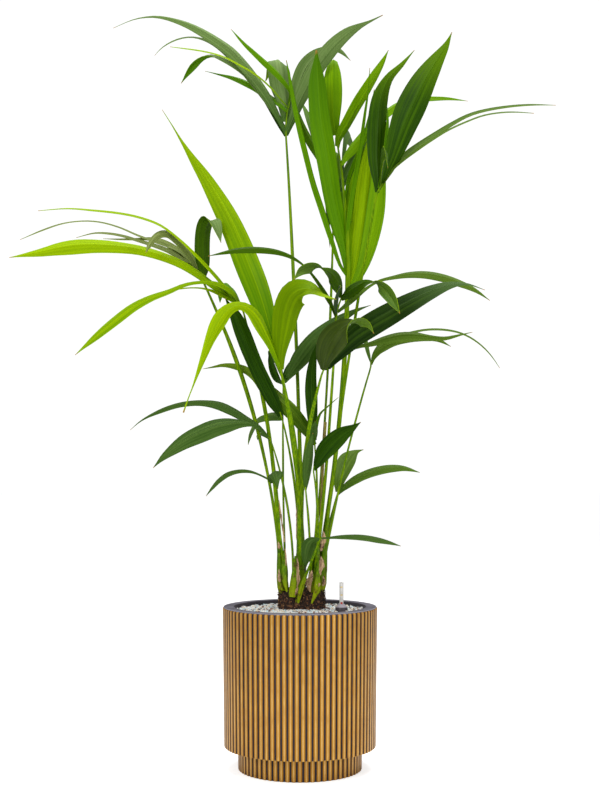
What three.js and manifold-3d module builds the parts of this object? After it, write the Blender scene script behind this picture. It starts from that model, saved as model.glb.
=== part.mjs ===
// A kentia palm in a ribbed round planter, in millimetres, +Z up. The origin is the middle of the
// planter's flat underside. Nineteen fronds rise on long stalks from a clump of five short stems.
import * as THREE from "three";
import { mergeVertices } from "three/addons/utils/BufferGeometryUtils.js";
import Module from "manifold-3d";

const wasm = await Module();
wasm.setup();

const clearance = 0.3; // between pieces that stand against each other

// Planter: a tapering ribbed body on a narrower ribbed foot, with a flat rim round the opening.
const planter = {
  height: 324,
  rimRadius: 152.6,
  rimDepth: 3,
  rimRounding: 1.2,
  mouthRadius: 132,
  body: { bottom: 46, lowRadius: 151.4, topRadius: 154.2, ribs: 80, turn: 0.5 },
  foot: { lowRadius: 123.4, topRadius: 123.8, ribs: 64, turn: 0 },
  ribTop: 322,
  ribDepth: 2.6,
  ribFlat: 0.52, // share of a rib's pitch that its flat top takes
  floor: 8,
  footWellRadius: 115,
  wellStep: 54,
  wellRadius: 130.5,
};
const cutPast = 1; // how far the well is cut past the rim
const sliver = 0.05; // a joined frond loses edges and slivers finer than this
const gravelLevel = 316;

// Root ball: the lump of soil that stands out of the gravel, higher at the back. Its outline gives a
// share of its half widths at each height.
const rootBall = {
  centre: [3, 30],
  half: [46.1, 30.6],
  outline: [
    [0, 262],
    [0.92, 262],
    [1, 312],
    [1, 342],
    [0.9, 350],
    [0.5, 356],
    [0, 358],
  ],
  shoulder: 342,
  tilt: 4.5,
  lumps: [
    { height: 0.03, count: 5, start: 1 },
    { height: 0.02, count: 11, start: 0 },
  ],
};

// Water level gauge: a clear tube standing in a domed cap.
const gauge = {
  centre: [82, -28],
  capRadius: 12.3,
  capSide: 8,
  shoulderRadius: 9.8,
  shoulderRise: 3,
  capTop: 331,
  socketDepth: 4,
  socketWall: 1.4,
  tubeRadius: 4.1,
  tubeTop: 374,
  tubeEdge: 0.6,
};

// Short stems of the clump, with the flat cut of each at ground level.
const stems = {
  left: { centre: [-34, 30], ground: 352, top: 384 },
  front: { centre: [-10, 8], ground: 330, top: 349 },
  middle: { centre: [0, 34], ground: 352, top: 384 },
  inner: { centre: [26, 18], ground: 350, top: 382 },
  right: { centre: [40, 42], ground: 354, top: 386 },
};
const stemRadius = { ground: 9.8, top: 8.8 };
const stemFlare = 12; // height over which a stem narrows from the ground
const socketRise = 20; // how far a stem's socket is cut above the stem, to pass out of the soil

// Old leaf sheaths that stand up from the stems' sides.
const sheaths = [
  { stem: "left", crest: [-42, 412], tip: [-42, 446, 6], width: 9 },
  { stem: "middle", crest: [-3, 398], tip: [-4, 420, 16], width: 9 },
  { stem: "inner", crest: [20, 388], tip: [12, 402, 0], width: 12 },
  { stem: "right", crest: [46, 430], tip: [51, 474, 12], width: 9 },
];
const sheathFoot = { forward: 6.6, below: 14 }; // from the middle of the stem's top

// Sides of the round forms.
const facets = {
  rim: 60,
  well: 48,
  rootBall: 28,
  stem: 14,
  cap: 18,
  tube: 12,
  stalk: 6,
  rib: 5,
  leaflet: 4,
};

const stalkFootRadius = 2.9;
const rachisTipRadius = 1.2;
const leafShape = {
  thickness: 0.01, // of the leaflet's length
  leastThickness: 2.4,
  fold: 0.14,
  rootWidth: 0.2,
  bladeWidth: 0.9,
  tipWidth: 0.6,
  shoulder: 0.92, // below 1, the widest place moves towards the tip
  fullness: 0.85,
};
const stepCounts = { stalk: 6, stub: 5, rachis: 3, leaflet: 7, sheath: 4 };

// The fronds are set out on a front elevation, seen from a point before the plant: [across, up] is where
// a point shows on the plane of the planter's axis, and a third number is its depth behind that plane.
const station = { distance: 2525, eye: 586 };

// seat: where the stalk stands on its stem's top. via and top: points of the stalk, and radius the one at
// its top. rachis: the tip of the rib that goes on from the stalk. A leaflet leaves the rib at a share of
// its length and follows its path to its tip, or rises over its crest to it. seen: its width from root to
// tip as it shows from the front. widths, width: the same across the blade itself. turn: how far the
// blade's face is turned away from the front at its middle, in degrees. steps: more pieces than usual
// along a blade that curls over.
const fronds = {
  left_back: {
    stem: "left",
    seat: [-4.5, 3.5],
    via: [-76, 640, 32],
    top: [-186, 956, 34],
    rachis: [-212, 1012, 38],
    radius: 2.8,
    leaflets: [
      {
        at: 0.35,
        path: [
          [-191, 1000, 30], [-192, 1045, 26], [-189, 1078, 18], [-181, 1094, 6], [-171, 1084, -8],
          [-158, 1050, -16],
        ],
        seen: [12, 22, 28, 29, 29, 29, 27, 16, 1],
        turn: 35,
        steps: 14,
      },
      {
        at: 0.6,
        path: [
          [-208, 1010], [-222, 1034], [-242, 1056], [-264, 1070], [-284, 1066], [-299, 1049],
          [-308, 1031, -90],
        ],
        seen: [10, 14, 17, 18, 16, 12, 9, 7, 1],
        turn: 45,
      },
      {
        at: 0.7,
        path: [
          [-222, 1018], [-240, 1036], [-264, 1052], [-292, 1061], [-325, 1060], [-358, 1059],
          [-394, 1059, 70],
        ],
        seen: [8, 13, 15, 14, 12, 8, 6, 4, 1],
        turn: 55,
      },
      {
        at: 1,
        path: [
          [-232, 1020], [-262, 1038], [-292, 1049], [-325, 1058], [-352, 1066], [-382, 1071],
          [-412, 1071], [-448, 1061, 0],
        ],
        seen: [6, 10, 11, 9, 7, 6, 5, 3, 1],
        turn: 60,
      },
      {
        at: 0.9,
        path: [
          [-240, 1036], [-285, 1053], [-324, 1067], [-362, 1083], [-400, 1093], [-435, 1095],
          [-475, 1090], [-515, 1077], [-560, 1057, 100],
        ],
        seen: [5, 6, 5, 3.5, 3, 3, 3, 4, 1],
        turn: 68,
      },
      { at: 0.5, crest: [-224, 1042], tip: [-236, 1000, 330], width: 30, turn: 75 },
    ],
  },
  left_front: {
    stem: "left",
    seat: [-4.5, -3.5],
    via: [-62, 666, 24],
    top: [-114, 916, 10],
    rachis: [-128, 934, 8],
    radius: 3.4,
    leaflets: [
      {
        at: 0.6,
        path: [
          [-148, 948], [-175, 968], [-205, 990], [-240, 1011], [-280, 1027], [-320, 1038], [-360, 1044],
          [-400, 1047], [-440, 1047], [-480, 1042], [-520, 1033], [-582, 1021, -60],
        ],
        seen: [8, 14, 17, 19, 22, 28, 31, 17, 1],
        turn: 25,
      },
      {
        at: 1,
        path: [
          [-160, 978], [-198, 1019], [-238, 1057], [-278, 1087], [-320, 1103], [-365, 1112], [-415, 1117],
          [-465, 1120], [-524, 1115, -110],
        ],
        seen: [6, 8, 7, 5, 5, 4.5, 4, 2.5, 1],
        turn: 66,
      },
      {
        at: 0.4,
        path: [
          [-126, 944], [-144, 962], [-170, 972], [-200, 973], [-230, 968], [-262, 955], [-300, 942],
          [-335, 924], [-368, 899], [-405, 868], [-450, 826, -160],
        ],
        seen: [12, 17, 9, 9, 13, 18, 18, 13, 1],
        turn: 35,
      },
      {
        at: 0.2,
        path: [[-128, 932], [-150, 944], [-176, 956], [-205, 961], [-240, 959], [-280, 950, -20]],
        seen: [5, 7, 8, 7, 4, 3, 3, 3, 1],
        turn: 45,
      },
      { at: 0.5, crest: [-150, 970], tip: [-160, 930, 260], width: 28, turn: 75 },
    ],
  },
  middle_back: {
    stem: "middle",
    seat: [-3, 5.5],
    via: [-12, 575, 30],
    top: [-34, 692, 0],
    rachis: [-40, 712, -4],
    radius: 2.6,
    leaflets: [
      {
        at: 0.6,
        path: [[-52, 733], [-69, 767], [-85, 800], [-101, 838], [-114, 872], [-129, 906], [-150, 940, -30]],
        seen: [12, 26, 30, 30, 31, 32, 30, 20, 1],
        turn: 10,
      },
      { at: 0.3, crest: [-84, 700], tip: [-104, 646, 320], width: 32, turn: 75 },
    ],
  },
  inner_back: {
    stem: "left",
    seat: [4.5, 3.5],
    via: [-34, 576, 28],
    top: [-34, 760, 22],
    rachis: [-32, 778, 22],
    radius: 2,
    leaflets: [
      {
        at: 0.7,
        path: [[-17, 797], [2, 826], [24, 853], [50, 877], [80, 899], [110, 915], [142, 926, 40]],
        seen: [10, 24, 36, 38, 36, 28, 18, 8, 1],
        turn: 20,
      },
      {
        at: 1,
        path: [[-22, 800], [-4, 822], [18, 838], [44, 860, 60]],
        seen: [8, 16, 20, 20, 18, 15, 12, 7, 1],
        turn: 40,
      },
      {
        at: 0.5,
        path: [[-42, 778], [-51, 800], [-62, 836, 40]],
        seen: [6, 12, 15, 16, 15, 13, 10, 5, 1],
        turn: 50,
      },
      { at: 0.9, crest: [-50, 830], tip: [-56, 796, 320], width: 28, turn: 75 },
    ],
  },
  middle_front: {
    stem: "middle",
    seat: [-4, -4],
    via: [-6, 596, -34],
    top: [-36, 786, -90],
    rachis: [-42, 812, -94],
    radius: 3.6,
    leaflets: [
      {
        at: 1,
        path: [
          [-52, 850, -84], [-77, 938, -50], [-107, 1018, -6], [-140, 1096, 18], [-185, 1176, 36],
          [-212, 1216, 40], [-238, 1256, 44], [-256, 1286, 44], [-276, 1317, 40],
        ],
        seen: [10, 30, 46, 51, 47, 39, 24, 6, 1],
        turn: 12,
      },
      {
        at: 0.4,
        path: [
          [-40, 830, -100], [-34, 880, -112], [-26, 922, -130], [-13, 948, -152], [10, 958, -180],
          [32, 955, -215], [52, 946, -250], [72, 938, -300],
        ],
        seen: [12, 28, 45, 52, 52, 30, 13, 8, 1],
        turn: 20,
      },
      {
        at: 0.6,
        path: [
          [-52, 836], [-67, 870], [-82, 900], [-100, 919], [-122, 926], [-144, 916], [-162, 892],
          [-177, 862], [-190, 828], [-202, 796], [-213, 766], [-223, 740], [-233, 711, -250],
        ],
        seen: [9, 20, 32, 17, 28, 18, 9, 2.5, 3],
        turn: 15,
      },
    ],
  },
  small_left: {
    stem: "left",
    seat: [4, -4.5],
    via: [-38, 456, 8],
    top: [-50, 560, -20],
    rachis: [-53, 572, -23],
    radius: 2.3,
    leaflets: [
      {
        at: 0.8,
        path: [
          [-61, 577], [-80, 587], [-100, 594], [-122, 595], [-145, 589], [-163, 576], [-176, 561],
          [-188, 544, -40],
        ],
        seen: [3, 4, 4.5, 7, 8.5, 10, 9, 6, 1],
        turn: 45,
      },
      {
        at: 1,
        path: [[-52, 586, -42], [-50, 595, -62], [-49, 588, -86], [-47, 574, -100], [-44, 558, -108]],
        seen: [12, 26, 32, 33, 31, 26, 17, 9, 1],
        turn: 0,
      },
    ],
  },
  low_left: {
    stem: "front",
    seat: [-4, 2],
    via: [-24, 516, -2],
    top: [-56, 648, -22],
    rachis: [-64, 662, -26],
    radius: 2.3,
    leaflets: [
      {
        at: 1,
        path: [
          [-76, 676], [-90, 689], [-110, 701], [-135, 716], [-165, 729], [-200, 733], [-235, 730],
          [-265, 722], [-295, 709], [-320, 694], [-340, 676, 60],
        ],
        seen: [6, 10, 15, 17, 13, 12, 11, 5, 1],
        turn: 45,
      },
      {
        at: 0.5,
        path: [
          [-72, 670], [-90, 686], [-112, 690], [-140, 689], [-170, 683], [-200, 671], [-230, 656],
          [-255, 638], [-275, 621], [-294, 600, -90],
        ],
        seen: [5, 6, 15, 31, 36, 34, 26, 14, 1],
        turn: 20,
      },
      { at: 0.7, crest: [-79, 670], tip: [-85, 656, 190], width: 13, turn: 75 },
    ],
  },
  top: {
    stem: "middle",
    seat: [4.5, 2.5],
    via: [-6, 816, 56],
    top: [-28, 1262, 60],
    rachis: [-20, 1336, 62],
    radius: 2.9,
    leaflets: [
      {
        at: 0.16,
        path: [
          [-44, 1308], [-64, 1346], [-86, 1378], [-110, 1408], [-136, 1436], [-162, 1455], [-190, 1472],
          [-220, 1487], [-250, 1497], [-280, 1503], [-304, 1503], [-334, 1497], [-374, 1480, 20],
        ],
        seen: [8, 16, 22, 25, 23, 18, 9, 3, 1],
        turn: 35,
      },
      {
        at: 0.24,
        path: [
          [-62, 1334], [-92, 1376], [-121, 1411], [-150, 1437], [-176, 1453], [-200, 1461], [-222, 1463],
          [-244, 1459], [-264, 1450], [-280, 1438], [-291, 1425, 90],
        ],
        seen: [8, 12, 16, 18, 17, 11, 5, 5, 1],
        turn: 45,
      },
      {
        at: 0.8,
        path: [
          [-36, 1336], [-58, 1362], [-80, 1382], [-100, 1396], [-122, 1408], [-142, 1419], [-162, 1427],
          [-185, 1433], [-215, 1438], [-260, 1443, -50],
        ],
        seen: [3, 4, 4.5, 4.5, 4, 3.5, 3, 2.5, 1],
        turn: 66,
      },
      {
        at: 0.12,
        path: [
          [-44, 1303], [-62, 1334], [-82, 1364], [-106, 1390], [-130, 1408], [-156, 1421], [-180, 1427],
          [-199, 1420], [-214, 1405], [-226, 1388], [-238, 1369, 50],
        ],
        widths: [8, 13, 16, 18, 20, 20, 17, 15, 1],
        turn: 20,
      },
      {
        at: 0.7,
        path: [
          [-40, 1329], [-64, 1346], [-84, 1361], [-103, 1370], [-122, 1378], [-142, 1384], [-162, 1388],
          [-190, 1394, 110],
        ],
        seen: [8, 12, 15, 18, 16, 14, 9, 4, 1],
        turn: 35,
      },
      {
        at: 0.9,
        path: [
          [-18, 1352], [-26, 1367], [-40, 1385], [-56, 1401], [-73, 1416], [-92, 1433], [-112, 1451],
          [-138, 1478, 0],
        ],
        seen: [5, 8, 12, 15, 15, 13, 10, 6, 1],
        turn: 40,
      },
      {
        at: 0.4,
        path: [
          [-28, 1330, 70], [-34, 1368, 76], [-38, 1402, 84], [-44, 1417, 100], [-58, 1405, 118],
          [-69, 1374, 128],
        ],
        seen: [14, 24, 34, 43, 46, 46, 36, 18, 2],
        turn: 30,
        steps: 14,
      },
      {
        at: 0.05,
        path: [
          [-14, 1300], [0, 1335], [17, 1368], [34, 1400], [52, 1425], [73, 1449], [96, 1469], [119, 1483],
          [140, 1493], [166, 1506, -20],
        ],
        seen: [10, 17, 25, 31, 32, 29, 21, 7, 1.5],
        turn: 20,
      },
      {
        at: 0.5,
        path: [[-12, 1338], [0, 1374], [14, 1405], [34, 1427], [56, 1437], [78, 1436], [101, 1415, 130]],
        seen: [8, 14, 22, 28, 28, 22, 13, 9, 1],
        turn: 30,
      },
      {
        at: 0.03,
        path: [[-42, 1294, 64], [-57, 1324, 68], [-76, 1354, 72], [-104, 1386, 78], [-130, 1410, 84]],
        seen: [6, 11, 14, 15, 14, 12, 9, 5, 1],
        turn: 30,
      },
      { at: 0.6, crest: [-14, 1404], tip: [-16, 1340, 340], width: 30, turn: 75 },
    ],
  },
  upright: {
    stem: "right",
    seat: [-5.4, 1.7],
    via: [80, 706, 32],
    top: [95, 952, 12],
    rachis: [72, 1266, 36],
    radius: 3.6,
    leaflets: [
      {
        at: 0.09,
        path: [
          [90, 1040], [77, 1096], [67, 1144], [60, 1190], [53, 1236], [45, 1280], [40, 1320], [37, 1360],
          [35, 1398], [33, 1436, -30],
        ],
        seen: [8, 22, 33, 36, 40, 43, 40, 32, 3],
        turn: 15,
      },
      {
        at: 0.1,
        path: [
          [82, 1006], [64, 1060], [46, 1118], [28, 1173], [13, 1232], [0, 1286], [-11, 1336], [-19, 1378],
          [-27, 1416, -70],
        ],
        seen: [6, 9, 12, 13, 12, 12, 11, 8, 1.5],
        turn: 45,
      },
      {
        at: 1,
        path: [
          [67, 1300, 34], [66, 1345, 40], [66, 1388, 48], [67, 1415, 62], [67, 1412, 84], [65, 1380, 98],
        ],
        seen: [14, 24, 32, 34, 34, 32, 30, 24, 10],
        turn: 0,
      },
      {
        at: 0.92,
        path: [[80, 1262], [96, 1290], [116, 1326], [134, 1356], [152, 1386], [166, 1411], [177, 1436, 50]],
        seen: [10, 17, 20, 21, 21, 19, 16, 10, 1],
        turn: 35,
      },
      {
        at: 0.8,
        path: [
          [98, 1232], [122, 1262], [148, 1291], [176, 1315], [205, 1333], [235, 1341], [265, 1342],
          [296, 1341], [336, 1334, 100],
        ],
        seen: [8, 20, 22, 20, 17, 15, 12, 7, 1],
        turn: 35,
      },
      {
        at: 0.3,
        path: [[104, 1120], [114, 1180], [124, 1245], [132, 1310], [137, 1350], [140, 1400, 20]],
        seen: [5, 8, 9, 9, 8, 7, 5, 3, 1],
        turn: 60,
      },
      {
        at: 0.07,
        path: [[101, 1025], [103, 1078], [105, 1130], [112, 1180], [122, 1225], [134, 1268, 60]],
        seen: [5, 10, 16, 22, 24, 22, 16, 8, 1],
        turn: 20,
      },
      {
        at: 0.04,
        path: [
          [105, 985], [113, 1025], [121, 1075], [128, 1125], [133, 1175], [137, 1225], [146, 1290, 40],
        ],
        seen: [8, 20, 29, 34, 37, 35, 27, 14, 1],
        turn: 10,
      },
      {
        at: 0.02,
        path: [
          [112, 975], [129, 1012], [143, 1062], [152, 1110], [157, 1156], [159, 1205], [158, 1290, 30],
        ],
        seen: [8, 20, 30, 36, 38, 34, 26, 13, 1],
        turn: 10,
      },
      {
        at: 0.55,
        path: [[100, 1180], [124, 1240], [143, 1310], [149, 1357, 50]],
        seen: [4, 6, 8, 9, 9, 8, 7, 5, 1.5],
        turn: 50,
      },
      { at: 0.4, crest: [104, 1120], tip: [116, 1046, 380], width: 34, turn: 75 },
      { at: 0.7, crest: [100, 1262], tip: [110, 1216, 400], width: 34, turn: 75 },
    ],
  },
  right_front: {
    stem: "right",
    seat: [3.3, -4.6],
    via: [90, 766, -10],
    top: [152, 1142, -80],
    rachis: [166, 1170, -86],
    radius: 3,
    leaflets: [
      {
        at: 0.3,
        path: [
          [156, 1182], [154, 1220], [155, 1260], [157, 1300], [161, 1334], [169, 1362], [182, 1385],
          [203, 1406], [229, 1436, -40],
        ],
        seen: [8, 24, 33, 37, 36, 31, 18, 9, 1],
        turn: 15,
      },
      {
        at: 0.7,
        path: [
          [172, 1188], [186, 1222], [198, 1257], [212, 1296], [230, 1336], [250, 1376], [273, 1414],
          [292, 1444], [304, 1472, -170],
        ],
        seen: [8, 24, 38, 50, 56, 51, 38, 19, 1],
        turn: 8,
      },
      {
        at: 0.5,
        path: [
          [172, 1186], [191, 1212], [213, 1234], [240, 1253], [270, 1272], [300, 1290], [335, 1308],
          [370, 1318], [415, 1325], [460, 1328], [512, 1326, -60],
        ],
        seen: [5, 9, 14, 13, 10, 8, 7, 5, 1],
        turn: 55,
      },
      {
        at: 1,
        path: [
          [182, 1196], [205, 1217], [235, 1239], [265, 1259], [295, 1277], [330, 1293], [365, 1306],
          [400, 1312], [430, 1313], [468, 1310, -160],
        ],
        seen: [4, 5, 5, 4.5, 4, 3.5, 3, 2.5, 1],
        turn: 66,
      },
      {
        at: 0.6,
        path: [[172, 1215, -80], [176, 1260, -66], [177, 1300, -50], [172, 1340, -30]],
        seen: [4, 6, 8, 9, 8, 7, 5, 3, 1],
        turn: 55,
      },
      { at: 0.8, crest: [172, 1228], tip: [176, 1200, -350], width: 26, turn: 75 },
    ],
  },
  far_back: {
    stem: "inner",
    seat: [0, 5.6],
    via: [52, 736, 68],
    top: [66, 1086, 140],
    rachis: [58, 1186, 150],
    radius: 2.7,
    leaflets: [
      {
        at: 1,
        path: [[40, 1224], [22, 1254], [6, 1284], [-8, 1318], [-26, 1352, 160]],
        seen: [8, 14, 18, 19, 18, 16, 12, 7, 1],
        turn: 30,
      },
      { at: 0.9, crest: [26, 1290], tip: [2, 1334, 260], width: 28, turn: 40 },
      {
        at: 0.6,
        path: [[76, 1152], [92, 1182], [110, 1214], [130, 1244], [160, 1280, 140]],
        seen: [8, 14, 18, 21, 22, 21, 17, 10, 1],
        turn: 30,
      },
      { at: 0.8, crest: [66, 1236], tip: [90, 1106, 450], width: 34, turn: 75 },
      { at: 0.5, crest: [60, 1166], tip: [60, 1040, 410], width: 34, turn: 75 },
      { at: 0.05, crest: [120, 1100], tip: [150, 1040, 330], width: 32, turn: 75 },
    ],
  },
  centre_front: {
    stem: "inner",
    seat: [5.4, 1.7],
    via: [58, 666, -12],
    top: [72, 892, -60],
    rachis: [84, 942, -66],
    radius: 2.6,
    leaflets: [
      {
        at: 1,
        path: [
          [80, 960, -90], [70, 981, -120], [54, 995, -160], [36, 1002, -200], [16, 1001, -240],
          [0, 993, -275], [-12, 977, -310],
        ],
        widths: [10, 26, 28, 22, 20, 22, 20, 14, 1],
        turn: 20,
      },
      {
        at: 0.2,
        path: [
          [64, 930], [50, 954], [34, 977], [18, 996], [2, 1011], [-20, 1025], [-50, 1035], [-90, 1039],
          [-130, 1036], [-184, 1024, -150],
        ],
        seen: [6, 13, 9, 5, 9, 13, 13, 8, 1],
        turn: 40,
      },
      {
        at: 0.9,
        path: [[94, 950], [112, 963], [132, 972], [151, 971], [168, 959], [184, 939], [200, 909, -280]],
        widths: [8, 24, 26, 22, 19, 22, 24, 18, 1],
        turn: 20,
      },
      {
        at: 0.4,
        path: [
          [92, 928], [112, 946], [135, 962], [158, 975], [185, 982], [216, 988], [250, 989], [285, 983],
          [318, 972], [350, 957], [380, 935, -110],
        ],
        seen: [6, 13, 6, 8, 14, 17, 16, 10, 1],
        turn: 30,
      },
      { at: 0.3, crest: [78, 946], tip: [82, 962, -250], width: 24, turn: 75 },
    ],
  },
  broad_right: {
    stem: "middle",
    seat: [5, -3],
    via: [8, 596, -8],
    top: [44, 790, -110],
    rachis: [55, 805, -116],
    radius: 3.6,
    leaflets: [
      {
        at: 0.3,
        path: [
          [49, 820, -150], [60, 850, -190], [78, 874, -225], [100, 889, -260], [122, 894, -290],
          [138, 887, -312], [148, 869, -330],
        ],
        widths: [12, 34, 48, 52, 46, 34, 22, 14, 1],
        turn: 20,
      },
      {
        at: 0.8,
        path: [
          [78, 838], [106, 866], [140, 889], [180, 912], [220, 934], [260, 953], [298, 966], [334, 968],
          [370, 956, -170],
        ],
        seen: [16, 36, 45, 46, 42, 34, 22, 6, 1],
        turn: 15,
      },
      {
        at: 1,
        path: [
          [82, 828], [112, 842], [142, 850], [172, 860], [205, 867], [235, 867], [262, 863], [290, 861],
          [316, 866], [345, 872, -60],
        ],
        seen: [5, 5, 7, 14, 21, 20, 12, 6, 1],
        turn: 40,
      },
    ],
  },
  arching_right: {
    stem: "right",
    seat: [5.4, 1.7],
    via: [86, 596, 34],
    top: [140, 796, 20],
    rachis: [142, 814, 22],
    radius: 2.1,
    leaflets: [
      {
        at: 0.6,
        path: [[146, 824], [157, 840], [177, 852], [206, 860], [242, 861], [276, 857], [302, 843, -20]],
        seen: [5, 16, 22, 20, 18, 14, 10, 7, 1],
        turn: 30,
      },
      {
        at: 1,
        path: [
          [160, 842], [195, 864], [232, 875], [262, 879], [292, 878], [320, 872], [345, 860], [367, 843],
          [384, 824], [400, 800, 60],
        ],
        seen: [4, 7, 8, 5, 5, 4.5, 4, 3, 1],
        turn: 60,
      },
      { at: 0.8, crest: [136, 850], tip: [128, 880, 200], width: 22, turn: 60 },
    ],
  },
  low_right: {
    stem: "right",
    seat: [0, 5.6],
    via: [52, 452, 58],
    top: [72, 538, 66],
    rachis: [76, 552, 70],
    radius: 3,
    leaflets: [
      {
        at: 0.7,
        path: [[88, 562], [108, 577], [132, 589], [158, 597], [185, 601], [210, 600], [240, 591, 60]],
        seen: [6, 13, 17, 18, 18, 17, 14, 8, 1],
        turn: 30,
      },
      {
        at: 1,
        path: [[80, 580, 90], [88, 602, 120], [99, 622, 160], [112, 634, 210], [127, 637, 240]],
        seen: [10, 24, 32, 36, 37, 34, 24, 10, 2],
        turn: 0,
      },
    ],
  },
  lowest: {
    stem: "front",
    seat: [4, -3],
    via: [12, 388, -22],
    top: [38, 452, -60],
    rachis: [43, 460, -66],
    radius: 2.4,
    leaflets: [
      {
        at: 1,
        path: [[56, 461], [75, 463], [100, 464], [125, 463], [150, 459], [175, 453], [202, 444, -90]],
        seen: [3, 5, 8, 10, 11, 11, 10, 6, 1],
        turn: 45,
      },
      {
        at: 0.6,
        path: [
          [31, 456, -74], [22, 450, -84], [17, 439, -91], [14, 424, -96], [12, 411, -98],
          [13, 402, -100],
        ],
        seen: [4, 11, 21, 27, 28, 25, 20, 12, 1],
        turn: 20,
      },
    ],
  },
  left_shoot: {
    stem: "inner",
    seat: [-3.3, -4.6],
    via: [18, 476, -8],
    top: [12, 548, -40],
    rachis: [11, 562, -42],
    radius: 2.1,
    leaflets: [
      {
        at: 0.5,
        path: [[14, 582], [17, 610], [20, 636], [26, 670, -60]],
        seen: [4, 10, 15, 18, 19, 18, 14, 9, 1],
        turn: 20,
      },
    ],
  },
  right_shoot: {
    stem: "inner",
    seat: [3.3, -4.6],
    via: [36, 486, -18],
    top: [28, 590, -60],
    rachis: [29, 604, -62],
    radius: 2.1,
    leaflets: [
      {
        at: 0.4,
        path: [[36, 614], [47, 634], [64, 652], [84, 668], [104, 680], [122, 692, -100]],
        seen: [6, 20, 31, 36, 36, 32, 23, 11, 1],
        turn: 12,
      },
    ],
  },
  short_dark: {
    stem: "inner",
    seat: [-5.4, 1.7],
    via: [34, 536, 6],
    top: [30, 638, -10],
    rachis: [30, 656, -12],
    radius: 2.1,
    leaflets: [
      {
        at: 0.5,
        path: [
          [16, 672], [3, 690], [-12, 708, -2], [-30, 726, 3], [-50, 743, 15], [-70, 761, 38],
          [-90, 783, 52], [-110, 797], [-132, 804], [-154, 806], [-175, 802], [-195, 798, 80],
        ],
        seen: [8, 24, 30, 30, 28, 18, 14, 7, 1],
        turn: 5,
      },
      {
        at: 1,
        path: [[27, 690], [25, 735], [24, 780], [28, 820], [34, 850, 10]],
        seen: [8, 16, 21, 24, 25, 22, 18, 11, 1],
        turn: 20,
      },
      {
        at: 0.7,
        path: [[40, 704], [56, 722], [77, 741, -40]],
        seen: [3, 5, 6, 6, 5, 4, 3, 2, 1],
        turn: 55,
      },
      { at: 0.9, path: [[29, 676], [30, 694, -30]], seen: [5, 10, 14, 16, 16, 14, 11, 6, 1], turn: 20 },
    ],
  },
};
const oldStub = { stem: "right", seat: [-3.3, -4.6], via: [42, 516, 30], top: [50, 692, 14], radius: 2 };

const finish = {
  rib: { color: 0xc99a52, roughness: 0.45, metalness: 0.3 },
  gravel: { color: 0xb4b0ac, roughness: 0.9, metalness: 0 },
  soil: { color: 0x2c1d15, roughness: 1, metalness: 0 },
  cap: { color: 0x4a4648, roughness: 0.5, metalness: 0 },
  tube: { color: 0xd2cfc9, roughness: 0.2, metalness: 0 },
  stem: { color: 0x6b6a34, roughness: 0.8, metalness: 0 },
  stalk: { color: 0x5a8020, roughness: 0.5, metalness: 0 },
  oldStalk: { color: 0x8a6a3c, roughness: 0.8, metalness: 0 },
  leaf: { color: 0x447300, roughness: 0.45, metalness: 0 },
};

const upAxis = new THREE.Vector3(0, 0, 1);
const rightAxis = new THREE.Vector3(1, 0, 0);
const frontAxis = new THREE.Vector3(0, -1, 0);

function place([across, up, depth]) {
  const spread = 1 + depth / station.distance;
  return new THREE.Vector3(across * spread, depth, station.eye + (up - station.eye) * spread);
}

function solidOf(geometry) {
  geometry.deleteAttribute("normal");
  geometry.deleteAttribute("uv");
  const merged = mergeVertices(geometry, 1e-3);
  const mesh = new wasm.Mesh({
    numProp: 3,
    vertProperties: merged.attributes.position.array,
    triVerts: new Uint32Array(merged.index.array),
  });
  return new wasm.Manifold(mesh);
}

function geometryOf(solid) {
  const { vertProperties, triVerts } = solid.getMesh();
  const geometry = new THREE.BufferGeometry();
  geometry.setAttribute("position", new THREE.BufferAttribute(vertProperties, 3));
  geometry.setIndex(new THREE.BufferAttribute(triVerts, 1));
  geometry.computeVertexNormals();
  return geometry;
}

const plant = new THREE.Group();

function addNode(name, solid, look) {
  const mesh = new THREE.Mesh(geometryOf(solid), new THREE.MeshStandardMaterial(look));
  mesh.name = name;
  plant.add(mesh);
}

// A lathed body about the Z axis from [radius, height] points that start and end on the axis.
function lathe(profile, segments) {
  const points = profile.map(([radius, height]) => new THREE.Vector2(radius, height));
  return new THREE.LatheGeometry(points, segments).rotateX(Math.PI / 2);
}

// Places along a curve. The side vector is given at the middle and carried to both ends untwisted.
function stopsAlong(curve, steps, middleSide) {
  const stops = [];
  for (let i = 0; i <= steps; i++) {
    stops.push({ point: curve.getPointAt(i / steps), along: curve.getTangentAt(i / steps) });
  }
  const carry = (side, stop) => {
    stop.side = side.clone().addScaledVector(stop.along, -side.dot(stop.along)).normalize();
    return stop.side;
  };
  const middle = Math.floor(steps / 2);
  stops.slice(middle).reduce(carry, middleSide);
  stops.slice(0, middle).reduceRight(carry, stops[middle].side);
  return stops;
}

// A closed limb along a curve. The section gives each place on its unit outline an offset to the side
// and an offset to the face, at a share of the length.
function limb(curve, sides, steps, middleSide, section) {
  const geometry = new THREE.CylinderGeometry(1, 1, 1, sides, steps);
  const stops = stopsAlong(curve, steps, middleSide);
  const corners = geometry.attributes.position;
  const corner = new THREE.Vector3();
  for (let i = 0; i < corners.count; i++) {
    corner.fromBufferAttribute(corners, i);
    const step = Math.round((corner.y + 0.5) * steps);
    const { point, along, side } = stops[step];
    const [toSide, toFace] = section(step / steps, corner.x, corner.z);
    const face = side.clone().cross(along);
    corner.copy(point).addScaledVector(side, toSide).addScaledVector(face, toFace);
    corners.setXYZ(i, corner.x, corner.y, corner.z);
  }
  return solidOf(geometry);
}

function taperedLimb(curve, fromRadius, toRadius, sides, steps) {
  return limb(curve, sides, steps, rightAxis, (share, x, z) => {
    const radius = THREE.MathUtils.lerp(fromRadius, toRadius, share);
    return [x * radius, z * radius];
  });
}

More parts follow.
